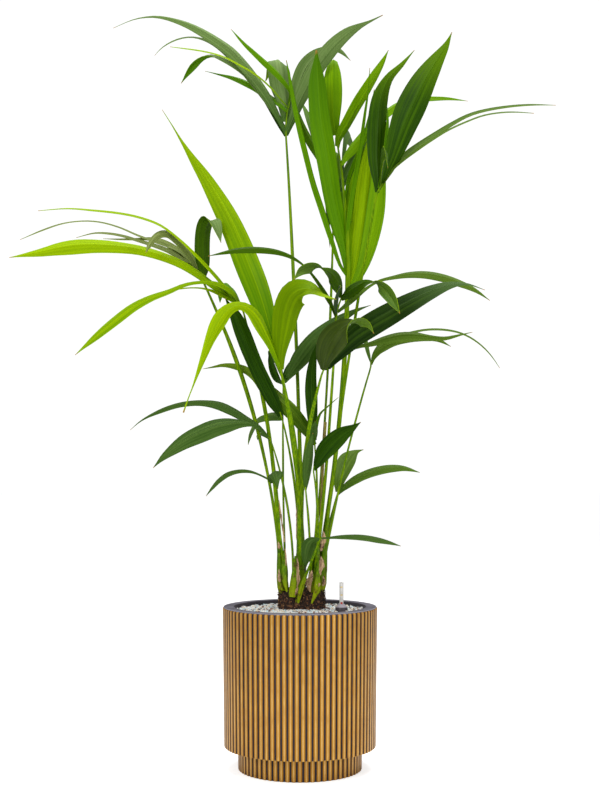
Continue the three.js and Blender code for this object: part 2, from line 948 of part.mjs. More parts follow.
// The arc from a root to a tip that passes through a crest on the way.
function arcThrough(root, crest, tip) {
  const rise = root.distanceTo(crest);
  const share = rise / (rise + crest.distanceTo(tip));
  const left = 1 - share;
  const pull = crest.clone().addScaledVector(root, -left * left).addScaledVector(tip, -share * share);
  return new THREE.QuadraticBezierCurve3(root, pull.divideScalar(2 * share * left), tip);
}

// Half the outline of a leaflet, as a share of its full width: narrow root, long fine point.
function leafOutline(share) {
  const { rootWidth, bladeWidth, shoulder, fullness } = leafShape;
  const blade = Math.max(Math.sin(Math.PI * Math.pow(share, shoulder)), 0);
  return rootWidth * (1 - share) + bladeWidth * Math.pow(blade, fullness);
}

// The value at a share of an evenly spaced row.
function rowValue(row, share) {
  const spot = share * (row.length - 1);
  const i = Math.min(Math.floor(spot), row.length - 2);
  return THREE.MathUtils.lerp(row[i], row[i + 1], spot - i);
}

// The middle vein of a leaflet: an arc over its crest, or a smooth line through the points of its path,
// whose depth is even from root to tip where the points give none.
function veinCurve(root, { path, crest, tip }) {
  if (!path) {
    const end = place(tip);
    return arcThrough(root, place([...crest, (root.y + end.y) / 2]), end);
  }
  const last = path.length - 1;
  const knots = path.map(([across, up, depth], i) => {
    const even = THREE.MathUtils.lerp(root.y, path[last][2], (i + 1) / (last + 1));
    return place([across, up, depth ?? even]);
  });
  return new THREE.CatmullRomCurve3([root, ...knots]);
}

function halfWidth(share, { seen, widths, width, turn = 0 }) {
  if (seen) return rowValue(seen, share) / 2 / Math.cos(THREE.MathUtils.degToRad(turn));
  return widths ? rowValue(widths, share) / 2 : (leafOutline(share) * width) / 2;
}

// One leaflet: a thin blade folded down on both sides of its middle vein.
function leaflet(root, spec) {
  const { turn = 0, steps = stepCounts.leaflet } = spec;
  const curve = veinCurve(root, spec);
  const along = curve.getTangentAt(0.5);
  const flat = along.clone().cross(frontAxis).normalize();
  const sense = THREE.MathUtils.degToRad(flat.x + flat.z > 0 ? 1 : -1);
  const side = flat.applyAxisAngle(along, sense * turn);
  const thick = Math.max(curve.getLength() * leafShape.thickness, leafShape.leastThickness);
  return limb(curve, facets.leaflet, steps, side, (share, x, z) => {
    const half = Math.max(halfWidth(share, spec), leafShape.tipWidth);
    const toSide = x * half;
    return [toSide, z * Math.min(thick / 2, half) - Math.abs(toSide) * 2 * leafShape.fold];
  });
}

function stalkFoot({ stem, seat }) {
  const { centre, top } = stems[stem];
  return new THREE.Vector3(centre[0] + seat[0], centre[1] + seat[1], top);
}

function stalkCurve(spec) {
  const foot = stalkFoot(spec);
  const curve = arcThrough(foot, place(spec.via), place(spec.top));
  const lean = curve.getTangentAt(0);
  foot.z += clearance + stalkFootRadius * Math.hypot(lean.x, lean.y);
  return curve;
}

function stalkSolid(curve, topRadius, steps) {
  return taperedLimb(curve, stalkFootRadius, topRadius, facets.stalk, steps);
}

// The rib that carries the leaflets goes on from the stalk's end in the stalk's own direction.
function rachisCurve(stalk, tip) {
  const along = stalk.getTangentAt(1);
  const start = stalk.v2.clone().addScaledVector(along, clearance);
  const end = place(tip);
  const pull = start.clone().addScaledVector(along, start.distanceTo(end) / 2);
  return new THREE.QuadraticBezierCurve3(start, pull, end);
}

// The largest body of a join, without the scraps and sealed hollows that crossing blades leave.
function outerShell(solid) {
  return solid.decompose().sort((a, b) => b.volume() - a.volume())[0];
}

function frondSolid(rib, radius, leaflets) {
  const middle = taperedLimb(rib, radius, rachisTipRadius, facets.rib, stepCounts.rachis);
  const blades = leaflets.map((spec) => leaflet(rib.getPointAt(spec.at), spec));
  return outerShell(wasm.Manifold.union([middle, ...blades]).asOriginal().simplify(sliver));
}

// A closed outline of flat-topped ribs with grooves between them, three corners to a rib.
function ribbedOutline(radius, { ribs, turn }) {
  const { ribDepth, ribFlat } = planter;
  const corners = [
    [-0.5, 1],
    [-ribFlat / 2, 0],
    [ribFlat / 2, 0],
  ];
  const outline = new THREE.Shape();
  for (let rib = 0; rib < ribs; rib++) {
    corners.forEach(([share, inset], i) => {
      const angle = ((rib + turn + share) * 2 * Math.PI) / ribs - Math.PI / 2;
      const reach = radius - inset * ribDepth;
      const corner = [Math.cos(angle) * reach, Math.sin(angle) * reach];
      if (rib + i === 0) {
        outline.moveTo(...corner);
      } else {
        outline.lineTo(...corner);
      }
    });
  }
  return outline;
}

// A ribbed drum between two heights, wider or narrower at its top.
function ribbedDrum(part, bottom, top) {
  const geometry = new THREE.ExtrudeGeometry(ribbedOutline(part.lowRadius, part), {
    depth: top - bottom,
    bevelEnabled: false,
  });
  const corners = geometry.attributes.position;
  for (let i = 0; i < corners.count; i++) {
    const share = corners.getZ(i) / (top - bottom);
    const scale = THREE.MathUtils.lerp(1, part.topRadius / part.lowRadius, share);
    corners.setXY(i, corners.getX(i) * scale, corners.getY(i) * scale);
  }
  return solidOf(geometry.translate(0, 0, bottom));
}

// The inside of the planter, drawn in by a gap for what fills it.
function insideProfile(gap, top) {
  const { floor, footWellRadius, wellStep, wellRadius, mouthRadius } = planter;
  return [
    [0, floor + gap],
    [footWellRadius - gap, floor + gap],
    [footWellRadius - gap, wellStep + gap],
    [wellRadius - gap, wellStep + gap],
    [mouthRadius - gap, top],
    [0, top],
  ];
}

function planterSolid() {
  const { body, foot, height, ribTop, rimRadius, rimDepth, rimRounding } = planter;
  const rim = lathe(
    [
      [0, ribTop - rimDepth],
      [rimRadius, ribTop - rimDepth],
      [rimRadius, height - rimRounding],
      [rimRadius - rimRounding, height],
      [0, height],
    ],
    facets.rim,
  );
  const well = lathe(insideProfile(0, height + cutPast), facets.well);
  return ribbedDrum(body, body.bottom, ribTop)
    .add(ribbedDrum(foot, 0, body.bottom))
    .add(solidOf(rim))
    .subtract(solidOf(well));
}

// The root ball's lumpy block, grown by a gap to cut its own socket.
function rootBallSolid(gap = 0) {
  const { centre, half, outline, shoulder, tilt, lumps } = rootBall;
  const bottom = outline[0][1];
  const geometry = lathe(outline, facets.rootBall);
  const corners = geometry.attributes.position;
  for (let i = 0; i < corners.count; i++) {
    const [x, y, z] = [corners.getX(i), corners.getY(i), corners.getZ(i)];
    const angle = Math.atan2(y, x);
    const square = Math.pow(Math.cos(angle) ** 4 + Math.sin(angle) ** 4, -0.25);
    const lump = lumps.reduce(
      (sum, wave) => sum + wave.height * Math.sin(wave.count * angle + wave.start),
      1,
    );
    const reach = square * lump;
    const lift = z >= shoulder ? y * tilt : 0;
    corners.setXYZ(
      i,
      centre[0] + x * reach * (half[0] + gap),
      centre[1] + y * reach * (half[1] + gap),
      z === bottom ? z - gap : z + lift,
    );
  }
  return solidOf(geometry);
}

function stemSolid({ centre, ground, top }, gap = 0) {
  const column = lathe(
    [
      [0, ground - gap],
      [stemRadius.ground + gap, ground - gap],
      [stemRadius.top + gap, ground + stemFlare],
      [stemRadius.top + gap, top],
      [0, top],
    ],
    facets.stem,
  );
  return solidOf(column.translate(centre[0], centre[1], 0));
}

// A dry sheath rises out of the front of its stem.
function sheathSolid({ stem, crest, tip, width }) {
  const { centre, top } = stems[stem];
  const root = new THREE.Vector3(centre[0], centre[1] - sheathFoot.forward, top - sheathFoot.below);
  return leaflet(root, { crest, tip, width, steps: stepCounts.sheath });
}

function gaugeCap() {
  const { capRadius, capSide, shoulderRadius, shoulderRise, capTop, socketDepth, socketWall } = gauge;
  const bottom = gravelLevel + clearance;
  const socket = gauge.tubeRadius + clearance;
  return lathe(
    [
      [0, bottom],
      [capRadius, bottom],
      [capRadius, bottom + capSide],
      [shoulderRadius, bottom + capSide + shoulderRise],
      [socket + socketWall, capTop],
      [socket, capTop],
      [socket, capTop - socketDepth],
      [0, capTop - socketDepth],
    ],
    facets.cap,
  ).translate(gauge.centre[0], gauge.centre[1], 0);
}

function gaugeTube() {
  const { tubeRadius, tubeTop, tubeEdge, capTop, socketDepth } = gauge;
  const bottom = capTop - socketDepth + clearance;
  return lathe(
    [
      [0, bottom],
      [tubeRadius, bottom],
      [tubeRadius, tubeTop - tubeEdge],
      [tubeRadius - tubeEdge, tubeTop],
      [0, tubeTop],
    ],
    facets.tube,
  ).translate(gauge.centre[0], gauge.centre[1], 0);
}

addNode("planter", planterSolid(), finish.rib);
const fill = solidOf(lathe(insideProfile(clearance, gravelLevel), facets.well));
addNode("gravel", fill.subtract(rootBallSolid(clearance)), finish.gravel);

let soil = rootBallSolid();
for (const stem of Object.values(stems)) {
  soil = soil.subtract(stemSolid({ ...stem, top: stem.top + socketRise }, clearance));
}
addNode("root_ball", soil, finish.soil);
addNode("gauge_cap", solidOf(gaugeCap()), finish.cap);
addNode("gauge_tube", solidOf(gaugeTube()), finish.tube);

for (const [name, stem] of Object.entries(stems)) {
  const own = sheaths.filter((sheath) => sheath.stem === name);
  const solid = own.reduce((sum, sheath) => sum.add(sheathSolid(sheath)), stemSolid(stem));
  addNode(`stem_${name}`, solid, finish.stem);
}

for (const [name, frond] of Object.entries(fronds)) {
  const stalk = stalkCurve(frond);
  addNode(`stalk_${name}`, stalkSolid(stalk, frond.radius, stepCounts.stalk), finish.stalk);
  const rib = rachisCurve(stalk, frond.rachis);
  addNode(`frond_${name}`, frondSolid(rib, frond.radius, frond.leaflets), finish.leaf);
}
const stub = stalkSolid(stalkCurve(oldStub), oldStub.radius, stepCounts.stub);
addNode("stalk_old_stub", stub, finish.oldStalk);

export default plant;
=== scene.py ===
import math
import random

import bmesh
import bpy
import numpy as np
from mathutils import Matrix, Vector, noise
from mathutils.geometry import interpolate_bezier


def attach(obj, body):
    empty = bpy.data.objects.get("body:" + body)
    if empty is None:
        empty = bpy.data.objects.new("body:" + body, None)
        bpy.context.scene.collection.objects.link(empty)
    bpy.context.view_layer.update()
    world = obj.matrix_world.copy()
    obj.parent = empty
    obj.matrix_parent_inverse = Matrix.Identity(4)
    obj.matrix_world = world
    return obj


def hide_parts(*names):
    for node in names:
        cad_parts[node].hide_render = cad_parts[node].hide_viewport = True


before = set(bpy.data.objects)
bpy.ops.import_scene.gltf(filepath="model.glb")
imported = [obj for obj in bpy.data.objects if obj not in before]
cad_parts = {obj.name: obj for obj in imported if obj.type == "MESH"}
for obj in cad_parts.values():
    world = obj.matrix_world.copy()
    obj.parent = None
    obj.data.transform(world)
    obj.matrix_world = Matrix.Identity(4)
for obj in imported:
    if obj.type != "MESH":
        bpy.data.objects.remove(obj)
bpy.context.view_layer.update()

mm = 0.001
fullTurn = 2 * math.pi
upAxis = Vector((0, 0, 1))
rightAxis = Vector((1, 0, 0))
frontAxis = Vector((0, -1, 0))

# the crown is set out as it shows from the camera's place, level with the foot of the fronds
station = {"distance": 2525, "eye": 586, "lens": 56.81, "shift": 0.09375}


def addObject(name, data):
    thing = bpy.data.objects.new(name, data)
    bpy.context.scene.collection.objects.link(thing)
    return thing


def makeCamera():
    data = bpy.data.cameras.new("camera")
    data.lens = station["lens"]
    data.shift_y = station["shift"]
    camera = addObject("camera", data)
    camera.location = (0, -station["distance"] * mm, station["eye"] * mm)
    camera.rotation_euler = (math.pi / 2, 0, 0)
    bpy.context.scene.camera = camera


def paint(*screen):
    # a colour by its screen values, taken down the screen's curve to the linear colour of shaders
    linear = [((value / 255 + 0.055) / 1.055) ** 2.4 if value > 10 else value / 3295 for value in screen]
    return (*linear, 1)


def feed(tree, socket, value):
    # a link where the value comes from another node, and otherwise the value itself
    if isinstance(value, bpy.types.NodeSocket):
        tree.links.new(value, socket)
    else:
        socket.default_value = value


def put(tree, kind, inputs=None, **settings):
    # a node with its settings, and values or links for its inputs
    node = tree.nodes.new(kind)
    for name, value in settings.items():
        setattr(node, name, value)
    for name, value in (inputs or {}).items():
        feed(tree, node.inputs[name], value)
    return node


def maths(tree, operation, *values):
    return put(tree, "ShaderNodeMath", dict(enumerate(values)), operation=operation).outputs[0]


def remap(tree, value, low, high, fromValue=0.0, toValue=1.0):
    sockets = {"Value": value, "From Min": low, "From Max": high, "To Min": fromValue, "To Max": toValue}
    return put(tree, "ShaderNodeMapRange", sockets, interpolation_type="SMOOTHSTEP").outputs[0]


def edgeMask(tree, distance, edge, falling=False):
    # from nothing to all, or the other way round, across an edge given by two distances
    low, high = edge
    return remap(tree, distance, low * mm, high * mm, *((1, 0) if falling else (0, 1)))


def blend(tree, factor, first, second):
    sockets = {0: factor, 6: first, 7: second}  # a mix node has its two colours at 6 and 7
    return put(tree, "ShaderNodeMix", sockets, data_type="RGBA").outputs[2]


def objectPlace(tree):
    return put(tree, "ShaderNodeTexCoord").outputs["Object"]


def axesOf(tree, spot):
    return put(tree, "ShaderNodeSeparateXYZ", {0: spot}).outputs


def stretch(tree, spot, factors):
    # a pattern drawn out: the larger a factor, the finer the pattern that way
    return put(tree, "ShaderNodeVectorMath", {0: spot, 1: factors}, operation="MULTIPLY").outputs[0]


def speckle(tree, spot, scale, detail, roughness=0.5):
    sockets = {"Vector": spot, "Scale": scale, "Detail": detail, "Roughness": roughness}
    return put(tree, "ShaderNodeTexNoise", sockets).outputs[0]


def bump(tree, height, strength, distance):
    return put(tree, "ShaderNodeBump", {"Height": height, "Strength": strength, "Distance": distance}).outputs[0]


def makeGroup(name, inputs, build):
    # a shader node group of plain numbers: build adds the nodes and gives what comes out
    tree = bpy.data.node_groups.new(name, "ShaderNodeTree")
    for socket, value in inputs.items():
        made = tree.interface.new_socket(socket, in_out="INPUT", socket_type="NodeSocketFloat")
        made.default_value = value
    masks = build(tree, put(tree, "NodeGroupInput").outputs)
    for socket in masks:
        tree.interface.new_socket(socket, in_out="OUTPUT", socket_type="NodeSocketFloat")
    put(tree, "NodeGroupOutput", masks)
    return tree


def makeMaterial(name, build, **sockets):
    # build adds the nodes and gives the sockets that change over the surface
    material = bpy.data.materials.new(name)
    material.use_nodes = True
    tree = material.node_tree
    shader = tree.nodes["Principled BSDF"]
    for socket, value in {**sockets, **build(tree)}.items():
        feed(tree, shader.inputs[socket], value)
    return material


def addPiece(name, mesh, materials, replaced=()):
    # an object of a finished mesh, riding on the plant's one body
    for material in materials:
        mesh.materials.append(material)
    piece = addObject(name, mesh)
    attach(piece, "root")
    if replaced:
        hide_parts(*replaced)


def finishPiece(name, bm, materials, replaced=(), sharp=50):
    # a piece from mesh work in millimetres, smooth but for edges sharper than an angle
    loose = [vert for vert in bm.verts if not vert.link_faces]
    bmesh.ops.delete(bm, geom=loose, context="VERTS")
    bmesh.ops.scale(bm, vec=(mm, mm, mm), verts=bm.verts)
    for face in bm.faces:
        face.smooth = True
    mesh = bpy.data.meshes.new(name)
    bm.to_mesh(mesh)
    bm.free()
    mesh.set_sharp_from_angle(angle=math.radians(sharp))
    addPiece(name, mesh, materials, replaced)


def joinCopies(name, shapes, copies, materials):
    # one mesh of many small copies: each copy has a shape, a place and a material
    corners = [np.array([vert.co for vert in shape.verts]) for shape in shapes]
    sides = [np.array([[vert.index for vert in face.verts] for face in shape.faces]) for shape in shapes]
    allCorners, allSides, looks, start = [], [], [], 0
    for shape, matrix, look in copies:
        turned = np.array(matrix)
        allCorners.append(corners[shape] @ turned[:3, :3].T + turned[:3, 3])
        allSides.append(sides[shape] + start)
        looks.append(np.full(len(sides[shape]), look))
        start += len(corners[shape])
    mesh = bpy.data.meshes.new(name)
    mesh.from_pydata((np.concatenate(allCorners) * mm).tolist(), [], np.concatenate(allSides).tolist())
    mesh.polygons.foreach_set("material_index", np.concatenate(looks))
    for shape in shapes:
        shape.free()
    addPiece(name, mesh, materials)


def roughPebbles(stretches, rough):
    # one rough little stone for each set of factors that it is drawn out by
    shapes = []
    for factors in stretches:
        shape = bmesh.new()
        bmesh.ops.create_icosphere(shape, subdivisions=1, radius=1)
        for vert in shape.verts:
            vert.co *= random.uniform(*rough)
        bmesh.ops.scale(shape, vec=factors, verts=shape.verts)
        shapes.append(shape)
    return shapes


def spinProfile(bm, profile, steps):
    # a turned body round the upright axis from points of radius and height
    verts = [bm.verts.new((radius, 0, height)) for radius, height in profile]
    edges = [bm.edges.new(pair) for pair in zip(verts, verts[1:])]
    bmesh.ops.spin(bm, geom=verts + edges, cent=(0, 0, 0), axis=upAxis, angle=fullTurn, steps=steps, use_merge=True)
    bmesh.ops.remove_doubles(bm, verts=bm.verts, dist=0.001)
    bmesh.ops.recalc_face_normals(bm, faces=bm.faces)


planter = {
    "height": 324,
    "rimRadius": 152.6,
    "rimDepth": 1.7,
    "rimRounding": 0.7,
    "mouthRadius": 132,
    "footWell": 115,
    "wellStep": 54,
    "well": 130.5,
    "floor": 8,
    "lap": 0.4,  # how far the shell's step lies above the body's lower end
    "body": {"ribs": 80, "bottom": 46, "top": 322, "low": 151.4, "high": 154.2, "turn": 0.5},
    "foot": {"ribs": 64, "bottom": 0, "top": 46, "low": 123.4, "high": 123.8, "turn": 0},
    "grooveDepth": 2.6,
    "ribShare": 0.79,  # of the ribs' pitch
    "ribSeat": 0.8,  # how deep a rib is let into the shell
    "ribRounding": {"side": 0.36, "face": 0.55},  # of a rib's width, and of the grooves' depth
    "gold": (188, 132, 32),
    # the lighter gold below is a painted highlight along each rib's crest
    "goldHighlight": (232, 188, 114),
    "goldWorn": (160, 104, 26),
    "goldEdge": {"Wander": 0.06, "Edge": 0.35},  # where the gold ends aside of a rib's crest, in pitches
    # the darker colour below is painted shade on the ribs' rounded flanks
    "ochreFlankShade": (144, 90, 10),
    "plum": (50, 46, 54),
    "rim": [(84, 79, 92), (108, 104, 116)],
    # a painted highlight along the rim's rounded outer edge
    "rimEdgeHighlight": (150, 147, 158),
    # painted shade on the wall within the mouth
    "inside": (48, 36, 44),
    "shadeEdges": {"rim": (151.5, 152.5), "mouth": (131.8, 132.6), "height": (320.5, 321.5)},
}


def ribWearAndShading(tree, given):
    # how far aside of a rib's crest a place lies, as a share of the ribs' pitch, where the paint is worn, and where
    # a painted highlight runs along the crest and painted shade down the flanks
    spot = objectPlace(tree)
    axes = axesOf(tree, spot)
    body, foot = planter["body"], planter["foot"]
    onBody = maths(tree, "GREATER_THAN", axes[2], body["bottom"] * mm)
    angle = maths(tree, "ARCTAN2", axes[0], maths(tree, "MULTIPLY", axes[1], -1))
    count = maths(tree, "MULTIPLY_ADD", onBody, (body["ribs"] - foot["ribs"]) / fullTurn, foot["ribs"] / fullTurn)
    phase = maths(tree, "MULTIPLY", angle, count)
    phase = maths(tree, "SUBTRACT", phase, maths(tree, "MULTIPLY", onBody, body["turn"]))
    aside = maths(tree, "PINGPONG", phase, 0.5)
    # brush marks run down the ribs
    marks = speckle(tree, stretch(tree, spot, (900, 900, 60)), 1, 3, 0.65)
    spots = speckle(tree, spot, 420, 2, 0.7)
    both = maths(tree, "SUBTRACT", maths(tree, "ADD", maths(tree, "MULTIPLY", marks, 3), spots), 2)
    swing = maths(tree, "MULTIPLY", both, given["Wander"])
    reach = maths(tree, "SUBTRACT", maths(tree, "ADD", given["Edge"], swing), aside)
    wavy = maths(tree, "ADD", aside, maths(tree, "MULTIPLY", swing, 0.6))
    return {
        "Gold": remap(tree, reach, -0.015, 0.015),
        "CrestHighlight": remap(tree, wavy, 0.07, 0.14, 1, 0),
        "FlankShade": remap(tree, wavy, 0.22, 0.36),
        "Worn": remap(tree, speckle(tree, spot, 26, 3), 0.42, 0.7),
        "Height": marks,
    }


def ribPaint(tree):
    group = makeGroup("ribWearAndShading", planter["goldEdge"], ribWearAndShading)
    wearAndShading = put(tree, "ShaderNodeGroup", planter["goldEdge"], node_tree=group).outputs
    # a painted highlight along the crest, broken by the brush marks
    shine = maths(tree, "MULTIPLY", wearAndShading["CrestHighlight"], remap(tree, wearAndShading["Height"], 0.3, 0.65, 0.5, 1))
    gold = blend(tree, shine, paint(*planter["gold"]), paint(*planter["goldHighlight"]))
    gold = blend(tree, maths(tree, "MULTIPLY", wearAndShading["Worn"], 0.3), gold, paint(*planter["goldWorn"]))
    # painted shade down the rib's flanks
    gold = blend(tree, wearAndShading["FlankShade"], gold, paint(*planter["ochreFlankShade"]))
    return {
        "Base Color": blend(tree, wearAndShading["Gold"], paint(*planter["plum"]), gold),
        "Metallic": maths(tree, "MULTIPLY", wearAndShading["Gold"], 0.5),
        "Roughness": maths(tree, "MULTIPLY_ADD", wearAndShading["Gold"], -0.24, 0.55),
        "Normal": bump(tree, wearAndShading["Height"], 0.25, 0.0006),
    }


def shellPaint(tree):
    # a painted highlight pales the rim's outer edge and painted shade darkens the mouth's wall, while the shell is
    # plum below the rim, in the grooves
    spot = objectPlace(tree)
    grain = speckle(tree, spot, 900, 4)
    across, deep, height = axesOf(tree, spot)
    squares = maths(tree, "ADD", maths(tree, "POWER", across, 2), maths(tree, "POWER", deep, 2))
    radius = maths(tree, "POWER", squares, 0.5)
    cloud = remap(tree, speckle(tree, spot, 30, 3), 0.35, 0.65)
    colour = blend(tree, cloud, *[paint(*rim) for rim in planter["rim"]])
    edges = planter["shadeEdges"]
    # painted highlight on the rim's outer edge, and painted shade within the mouth
    colour = blend(tree, edgeMask(tree, radius, edges["rim"]), colour, paint(*planter["rimEdgeHighlight"]))
    colour = blend(tree, edgeMask(tree, radius, edges["mouth"], falling=True), colour, paint(*planter["inside"]))
    colour = blend(tree, edgeMask(tree, height, edges["height"], falling=True), colour, paint(*planter["plum"]))
    return {
        "Base Color": colour,
        "Normal": bump(tree, grain, 0.3, 0.0003),
        "Roughness": remap(tree, grain, 0.2, 0.8, 0.5, 0.7),
    }


def makeRib(drum):
    # one bar: an upright block with round ends and a rounded face, leaning out with the drum
    rib = bmesh.new()
    width = fullTurn * drum["low"] / drum["ribs"] * planter["ribShare"]
    depth = planter["grooveDepth"] + planter["ribSeat"]
    height = drum["top"] - drum["bottom"]
    middle = drum["bottom"] + height / 2
    bmesh.ops.create_cube(rib, size=1)
    bmesh.ops.scale(rib, vec=(width, depth, height), verts=rib.verts)
    bmesh.ops.translate(rib, vec=(0, depth / 2 - drum["low"], middle), verts=rib.verts)
    rounding = planter["ribRounding"]
    corners = [edge for edge in rib.edges if abs(edge.verts[0].co.y - edge.verts[1].co.y) > 1]
    side, face = width * rounding["side"], planter["grooveDepth"] * rounding["face"]
    bmesh.ops.bevel(rib, geom=corners, offset=side, segments=4, profile=0.5, affect="EDGES", material=-1)
    front = min(rib.faces, key=lambda f: f.calc_center_median().y)
    bmesh.ops.bevel(rib, geom=front.edges, offset=face, segments=5, profile=0.5, affect="EDGES", material=-1)
    top = [vert for vert in rib.verts if vert.co.z > middle]
    bmesh.ops.translate(rib, vec=(0, drum["low"] - drum["high"], 0), verts=top)
    return rib


def makePlanter():
    print("planter")
    groove, lap = planter["grooveDepth"], planter["lap"]
    body, foot = planter["body"], planter["foot"]
    rimFoot = planter["height"] - planter["rimDepth"]
    bm = bmesh.new()
    profile = [
        (0, 0),
        (foot["low"] - groove, 0),
        (foot["high"] - groove, body["bottom"] + lap),
        (body["low"] - groove, body["bottom"] + lap),
        (body["high"] - groove, rimFoot),
        (planter["rimRadius"], rimFoot),
        (planter["rimRadius"], planter["height"]),
        (planter["mouthRadius"], planter["height"]),
        (planter["well"], planter["wellStep"]),
        (planter["footWell"], planter["wellStep"]),
        (planter["footWell"], planter["floor"]),
        (0, planter["floor"]),
    ]
    spinProfile(bm, profile, steps=160)
    rings = [edge for edge in bm.edges if edge.calc_face_angle(0) > 0.8]
    rounding = planter["rimRounding"]
    bmesh.ops.bevel(bm, geom=rings, offset=rounding, segments=3, profile=0.5, affect="EDGES", material=-1)
    shellFinish = makeMaterial("plumShell", shellPaint)
    finishPiece("planter_shell", bm, [shellFinish], ["planter"], sharp=35)

    bm = bmesh.new()
    for drum in (body, foot):
        rib = makeRib(drum)
        turn = fullTurn / drum["ribs"]
        bmesh.ops.rotate(rib, cent=(0, 0, 0), matrix=Matrix.Rotation(turn * drum["turn"], 3, "Z"), verts=rib.verts)
        whole = list(rib.verts) + list(rib.edges) + list(rib.faces)
        bmesh.ops.spin(
            rib, geom=whole, cent=(0, 0, 0), axis=upAxis, angle=turn * (drum["ribs"] - 1),
            steps=drum["ribs"] - 1, use_duplicate=True,
        )
        mesh = bpy.data.meshes.new("ribs")
        rib.to_mesh(mesh)
        rib.free()
        bm.from_mesh(mesh)
        bpy.data.meshes.remove(mesh)
    bmesh.ops.recalc_face_normals(bm, faces=bm.faces)
    finishPiece("planter_ribs", bm, [makeMaterial("goldRibs", ribPaint)], sharp=60)


rootBall = {
    "centre": (3, 30),
    "half": (46.1, 30.6),
    "outline": [(0, 262), (0.92, 262), (1, 312), (1, 342), (0.9, 350), (0.5, 356), (0, 358)],
    "shoulder": 342,
    "tilt": 4.5,  # how much higher the back is, for each half width
    "lumps": [(0.03, 5, 1), (0.02, 11, 0)],  # height, how many there are round the ball, and where they start
    "fineFrom": 300,  # the mesh is finer above this height, and has a crust above the next
    "crustFrom": 345,
    "sideRough": (0.035, 0.02),  # of the half width, and how much of it goes inwards
    "topRough": (2.2, 0.8),
    "soil": [(16, 9, 6), (74, 46, 28)],
    "bits": (122, 84, 54),
}


def ballReach(angle):
    # how far the root ball's side stands out in a direction, as a share of its half width
    square = (math.cos(angle) ** 4 + math.sin(angle) ** 4) ** -0.25
    lumps = [height * math.sin(count * angle + start) for height, count, start in rootBall["lumps"]]
    return square * (1 + sum(lumps))


gravel = {
    "level": 316,
    "bedDepth": 2,  # below the level
    "count": 3300,
    "size": (2.2, 4.6),
    "spread": 2,  # of the stones' heights
    "rimGap": 3,
    "soilLap": 0.97,  # how far stones reach under the root ball's edge
    "rough": (0.75, 1.15),
    "stretch": [(1.1, 0.85, 0.75)] * 10,  # ten rough stones, all drawn out alike
    "colours": [
        (255, 254, 250), (222, 244, 250), (250, 232, 206), (176, 166, 160),
        (142, 96, 70), (232, 232, 232), (96, 84, 80),
    ],
    "shares": [30, 20, 16, 9, 11, 12, 8],
    # the layer under the stones is painted dark as the shade in the gaps between them
    "gapShade": (38, 32, 30),
    "bedGaps": {"foot": 1, "side": 0.6, "top": 0.8},
}


def stonePaint(colour):
    def build(tree):
        grain = speckle(tree, objectPlace(tree), 700, 3)
        dark = [value * 0.8 for value in colour]
        return {
            "Base Color": blend(tree, remap(tree, grain, 0.35, 0.65), paint(*dark), paint(*colour)),
            "Roughness": remap(tree, grain, 0.3, 0.7, 0.75, 0.95),
        }

    return build


def makeGravel():
    print("gravel")
    random.seed(3)
    shapes = roughPebbles(gravel["stretch"], gravel["rough"])
    copies = []
    centre, half = rootBall["centre"], rootBall["half"]
    reach = planter["mouthRadius"] - gravel["rimGap"]
    bedTop = gravel["level"] - gravel["bedDepth"]
    while len(copies) < gravel["count"]:
        radius, angle = reach * random.random() ** 0.5, random.uniform(0, fullTurn)
        x, y = radius * math.cos(angle), radius * math.sin(angle)
        aside, behind = (x - centre[0]) / half[0], (y - centre[1]) / half[1]
        if math.hypot(aside, behind) < ballReach(math.atan2(behind, aside)) * gravel["soilLap"]:
            continue  # that place is under the soil
        size = random.uniform(*gravel["size"])
        height = bedTop + random.uniform(-gravel["spread"], gravel["spread"])
        swing = random.uniform(0, 6.28)
        axis = Vector((random.gauss(0, 1), random.gauss(0, 1), random.gauss(0, 1)))
        matrix = Matrix.Translation((x, y, height)) @ Matrix.Rotation(swing, 4, axis) @ Matrix.Scale(size, 4)
        copies.append((random.randrange(len(shapes)), matrix))
    looks = random.choices(range(len(gravel["colours"])), gravel["shares"], k=len(copies))
    copies = [(*copy, look) for copy, look in zip(copies, looks)]
    finishes = [makeMaterial(f"stone{i}", stonePaint(colour)) for i, colour in enumerate(gravel["colours"])]
    joinCopies("gravel_stones", shapes, copies, finishes)

    bm = bmesh.new()
    gaps = gravel["bedGaps"]
    floor, step = planter["floor"] + gaps["foot"], planter["wellStep"] + gaps["foot"]
    foot, well = planter["footWell"] - gaps["foot"], planter["well"] - gaps["side"]
    mouth = planter["mouthRadius"] - gaps["top"]
    profile = [(0, floor), (foot, floor), (foot, step), (well, step), (mouth, bedTop), (0, bedTop)]
    spinProfile(bm, profile, steps=96)
    # its dark colour is painted shade between the stones
    finishPiece("gravel_bed", bm, [makeMaterial("gravelBedShade", stonePaint(gravel["gapShade"]))], ["gravel"])


crumbs = {
    "count": 1500,
    "size": (0.5, 1.5),
    "rough": (0.7, 1.2),
    "stretch": [(1, 1, 1)] * 3 + [(2.6, 0.7, 0.35)] * 3,  # round crumbs and long chips
    "onTop": 0.35,  # the share that lies on the ball's top, at this height
    "topHeight": 353,
    "sideTop": 350,
    "colours": [(34, 21, 15), (118, 72, 36), (162, 108, 62), (62, 38, 24), (196, 152, 104)],
    "shares": [14, 4, 2.5, 5, 1.5],
}


def soilPaint(tree):
    spot = objectPlace(tree)
    crumbly = speckle(tree, spot, 260, 5, 0.7)
    chips = put(tree, "ShaderNodeTexVoronoi", {"Vector": spot, "Scale": 210, "Randomness": 1}).outputs
    colour = blend(tree, remap(tree, crumbly, 0.35, 0.7), *[paint(*soil) for soil in rootBall["soil"]])
    bits = remap(tree, maths(tree, "MULTIPLY", crumbly, chips["Distance"]), 0.3, 0.42)
    return {
        "Base Color": blend(tree, bits, colour, paint(*rootBall["bits"])),
        "Normal": bump(tree, crumbly, 0.8, 0.0025),
        "Roughness": remap(tree, crumbly, 0.2, 0.8, 0.8, 1),
    }


